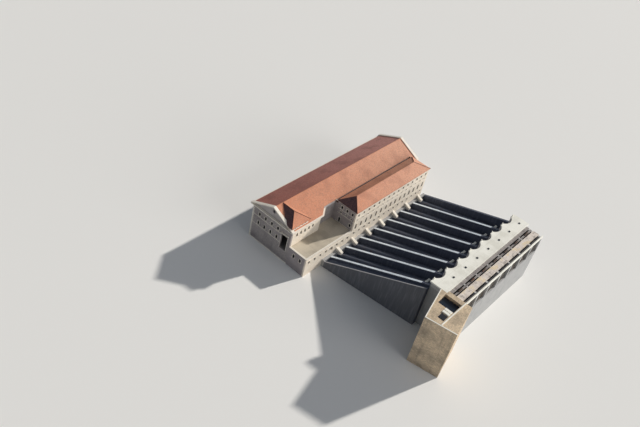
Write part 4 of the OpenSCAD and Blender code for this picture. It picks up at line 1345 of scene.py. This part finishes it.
    def blocks(self, paints: Paints) -> None:
        """Blocks round the heads of the pipes, posts on the noses and two plinths by the chamber."""
        shape, deck = Shape("head_blocks"), self.deck
        (y0, y1), (z0, z1) = self.collar_ys, self.collar_zs
        for bay in range(SITE.bays):
            mid = SITE.lane(bay + 0.5)
            shape.block((mid - self.collar_half, y0, z0), (mid + self.collar_half, y1, z1))
        for rib in range(SITE.bays + 1):
            low = (SITE.lane(rib) - self.post_half, self.nose_y, deck)
            shape.block(low, (low[0] + 2 * self.post_half, self.nose_y + 0.036, deck + self.post_h))
        side = self.chamber[1][0]
        for x in (side + 0.03, side + 0.2):
            shape.block((x, 8.8, deck), (x + 0.13, 9.14, deck + 0.05))
        shape.piece(paints(Finish.DECK), "deck_concrete")

    def cover(self, paints: Paints) -> None:
        """Ribbed steel cover beside the plinths."""
        shape, low, high = Shape("pit_cover"), self.deck + 0.012, self.deck + 0.02
        shape.block((8.98, 8.84, self.deck), (9.3, 9.14, low))
        for k in range(6):
            x = 9.005 + k * 0.05
            shape.block((x, 8.86, low), (x + 0.02, 9.12, high))
        shape.piece(paints(Finish.STEEL), "dark_steel")

    def build(self, paints: Paints) -> None:
        """Makes the intake's pieces."""
        self.racks(paints)
        self.gates(paints)
        self.hoists(paints)
        self.hatches(paints)
        self.pools(paints)
        self.kerbs(paints)
        self.blocks(paints)
        self.cover(paints)


DRESS: dict[Finish, str] = {
    Finish.RUBBLE: "hall_west_wall hall_east_wall near_gable_wall far_gable_wall",
    Finish.CREAM: "near_pavilion_wall far_pavilion_wall tower_walls wing_front_wall annex_front_wall",
    Finish.SURROUND: "anchor_blocks",
    Finish.GREY: "wing_end_walls annex_near_wall",
    Finish.TRIM: "hall_cornice near_gable_coping far_gable_coping door_hood wing_cornice annex_coping",
    Finish.TILES: "hall_roof_east near_pavilion_roof far_pavilion_roof tower_roof wing_roof",
    Finish.OLD_TILES: "hall_roof_west",
    Finish.LEAD: "valley_gutter",
    Finish.GLASS: "hall_windows gable_windows wing_windows annex_windows",
    Finish.FLOOR: "hall_floor wing_floors annex_floor",
    Finish.SCREED: "annex_roof",
    Finish.RIBS: "dividing_walls",
    Finish.KERB: "side_wall",
    Finish.WALL: "thrust_wall buttresses arch_wall rack_piers canal_wall",
    Finish.SLATE: "penstock_beds service_slope intake_floor penstock_saddles",
    Finish.PIPES: "penstocks penstock_collars",
    Finish.STEEL: "gates trash_racks deck_hatches",
    Finish.DECK: "intake_deck parapet_beam",
    Finish.BOARDS: "rack_walkways",
    Finish.RUST: "gate_hoists",
    Finish.TAN: "near_abutment",
}


def dress(nodes: dict[str, bpy.types.Object], paints: Paints) -> None:
    """Gives each CAD node its finish.

    Args:
        nodes: the CAD nodes by name.
        paints: the station's materials.
    """
    for finish, names in DRESS.items():
        for name in names.split():
            data = nodes[name].data
            data.materials.clear()
            data.materials.append(paints(finish))
    LOG.info("%d CAD nodes dressed", sum(len(names.split()) for names in DRESS.values()))


@dataclass(frozen=True)
class Studio:
    """Camera, lamps, floor and background."""

    yaw: float = math.radians(32.51)
    pitch: float = math.radians(39.36)
    roll: float = math.radians(14.38)
    place: Point = (25.425, 11.2155, 23.955)
    lens: float = 41.44
    sun_rise: float = math.radians(26)
    sun_turn: float = math.radians(17)
    floor_half: float = 150.0

    def camera(self) -> None:
        """Sets the camera at the photograph's angle."""
        cp, sp = math.cos(self.pitch), math.sin(self.pitch)
        cy, sy = math.cos(self.yaw), math.sin(self.yaw)
        ahead = Vector((-cp * cy, -cp * sy, -sp))
        right = Vector((-sy, cy, 0))
        up = right.cross(ahead)
        cr, sr = math.cos(self.roll), math.sin(self.roll)
        across, above = cr * right + sr * up, cr * up - sr * right
        turn = Matrix((across, above, -ahead)).transposed().to_4x4()
        data = bpy.data.cameras.new("view")
        data.lens = self.lens
        data.sensor_width = 36.0
        data.clip_end = 400.0
        camera = bpy.data.objects.new("view", data)
        camera.matrix_world = Matrix.Translation(self.place) @ turn
        bpy.context.scene.collection.objects.link(camera)
        bpy.context.scene.camera = camera

    def lamp(self, name: str, towards: Vector, strength: float, colour: Colour, soft: float) -> None:
        """Adds a sun lamp.

        Args:
            name: its name.
            towards: direction from the station to the lamp.
            strength: its strength.
            colour: its colour.
            soft: its angle in degrees.
        """
        data = bpy.data.lights.new(name, "SUN")
        data.energy = strength
        data.color = colour
        data.angle = math.radians(soft)
        lamp = bpy.data.objects.new(name, data)
        lamp.matrix_world = towards.to_track_quat("Z", "Y").to_matrix().to_4x4()
        bpy.context.scene.collection.objects.link(lamp)

    def floor(self) -> None:
        """Lays a pale floor that shows as near white."""
        bm = bmesh.new()
        bmesh.ops.create_grid(bm, x_segments=1, y_segments=1, size=self.floor_half)
        data = bpy.data.meshes.new("floor")
        bm.to_mesh(data)
        bm.free()
        data.materials.append(Graph("pale_floor").finish(srgb(240, 240, 238), 0.95))
        floor = bpy.data.objects.new("floor", data)
        bpy.context.scene.collection.objects.link(floor)

    def sky(self) -> None:
        """Sets a soft fill, shown as near white to the camera and through glass."""
        world = bpy.data.worlds.new("studio")
        world.use_nodes = True
        tree = world.node_tree
        tree.nodes.clear()
        rays = tree.nodes.new("ShaderNodeLightPath")
        seen = tree.nodes.new("ShaderNodeMath")
        seen.operation = "MAXIMUM"
        both = tree.nodes.new("ShaderNodeMixShader")
        output = tree.nodes.new("ShaderNodeOutputWorld")
        links = [(rays.outputs["Is Camera Ray"], seen.inputs[0])]
        links.append((rays.outputs["Is Transmission Ray"], seen.inputs[1]))
        links.append((seen.outputs[0], both.inputs[0]))
        links.append((both.outputs[0], output.inputs["Surface"]))
        for slot, colour, strength in ((1, (0.8, 0.88, 1.0, 1.0), 0.2), (2, (0.96, 0.96, 0.96, 1.0), 1.0)):
            background = tree.nodes.new("ShaderNodeBackground")
            background.inputs["Color"].default_value = colour
            background.inputs["Strength"].default_value = strength
            links.append((background.outputs[0], both.inputs[slot]))
        for start, end in links:
            tree.links.new(start, end)
        bpy.context.scene.world = world

    def build(self) -> None:
        """Sets up the studio."""
        self.camera()
        flat = math.cos(self.sun_rise)
        sun = Vector(
            (-flat * math.cos(self.sun_turn), flat * math.sin(self.sun_turn), math.sin(self.sun_rise))
        )
        self.lamp("key", sun, 3.8, (1.0, 0.95, 0.88), 2)
        self.lamp("fill", Vector((-0.1, 0.92, 0.16)), 1.6, (1.0, 0.97, 0.94), 50)
        self.floor()
        self.sky()
        bpy.context.scene.view_settings.view_transform = "Standard"


def main() -> None:
    """Builds and dresses the whole station."""
    logging.basicConfig(level=logging.INFO, format="%(name)s: %(message)s")
    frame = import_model()
    Studio().build()
    paints = Paints()
    dress(frame["nodes"], paints)
    for part in (Glazing(), Ridges(), Trim(), RackHouse()):
        part.build(paints)
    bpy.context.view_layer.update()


if __name__ == "__main__":
    main()
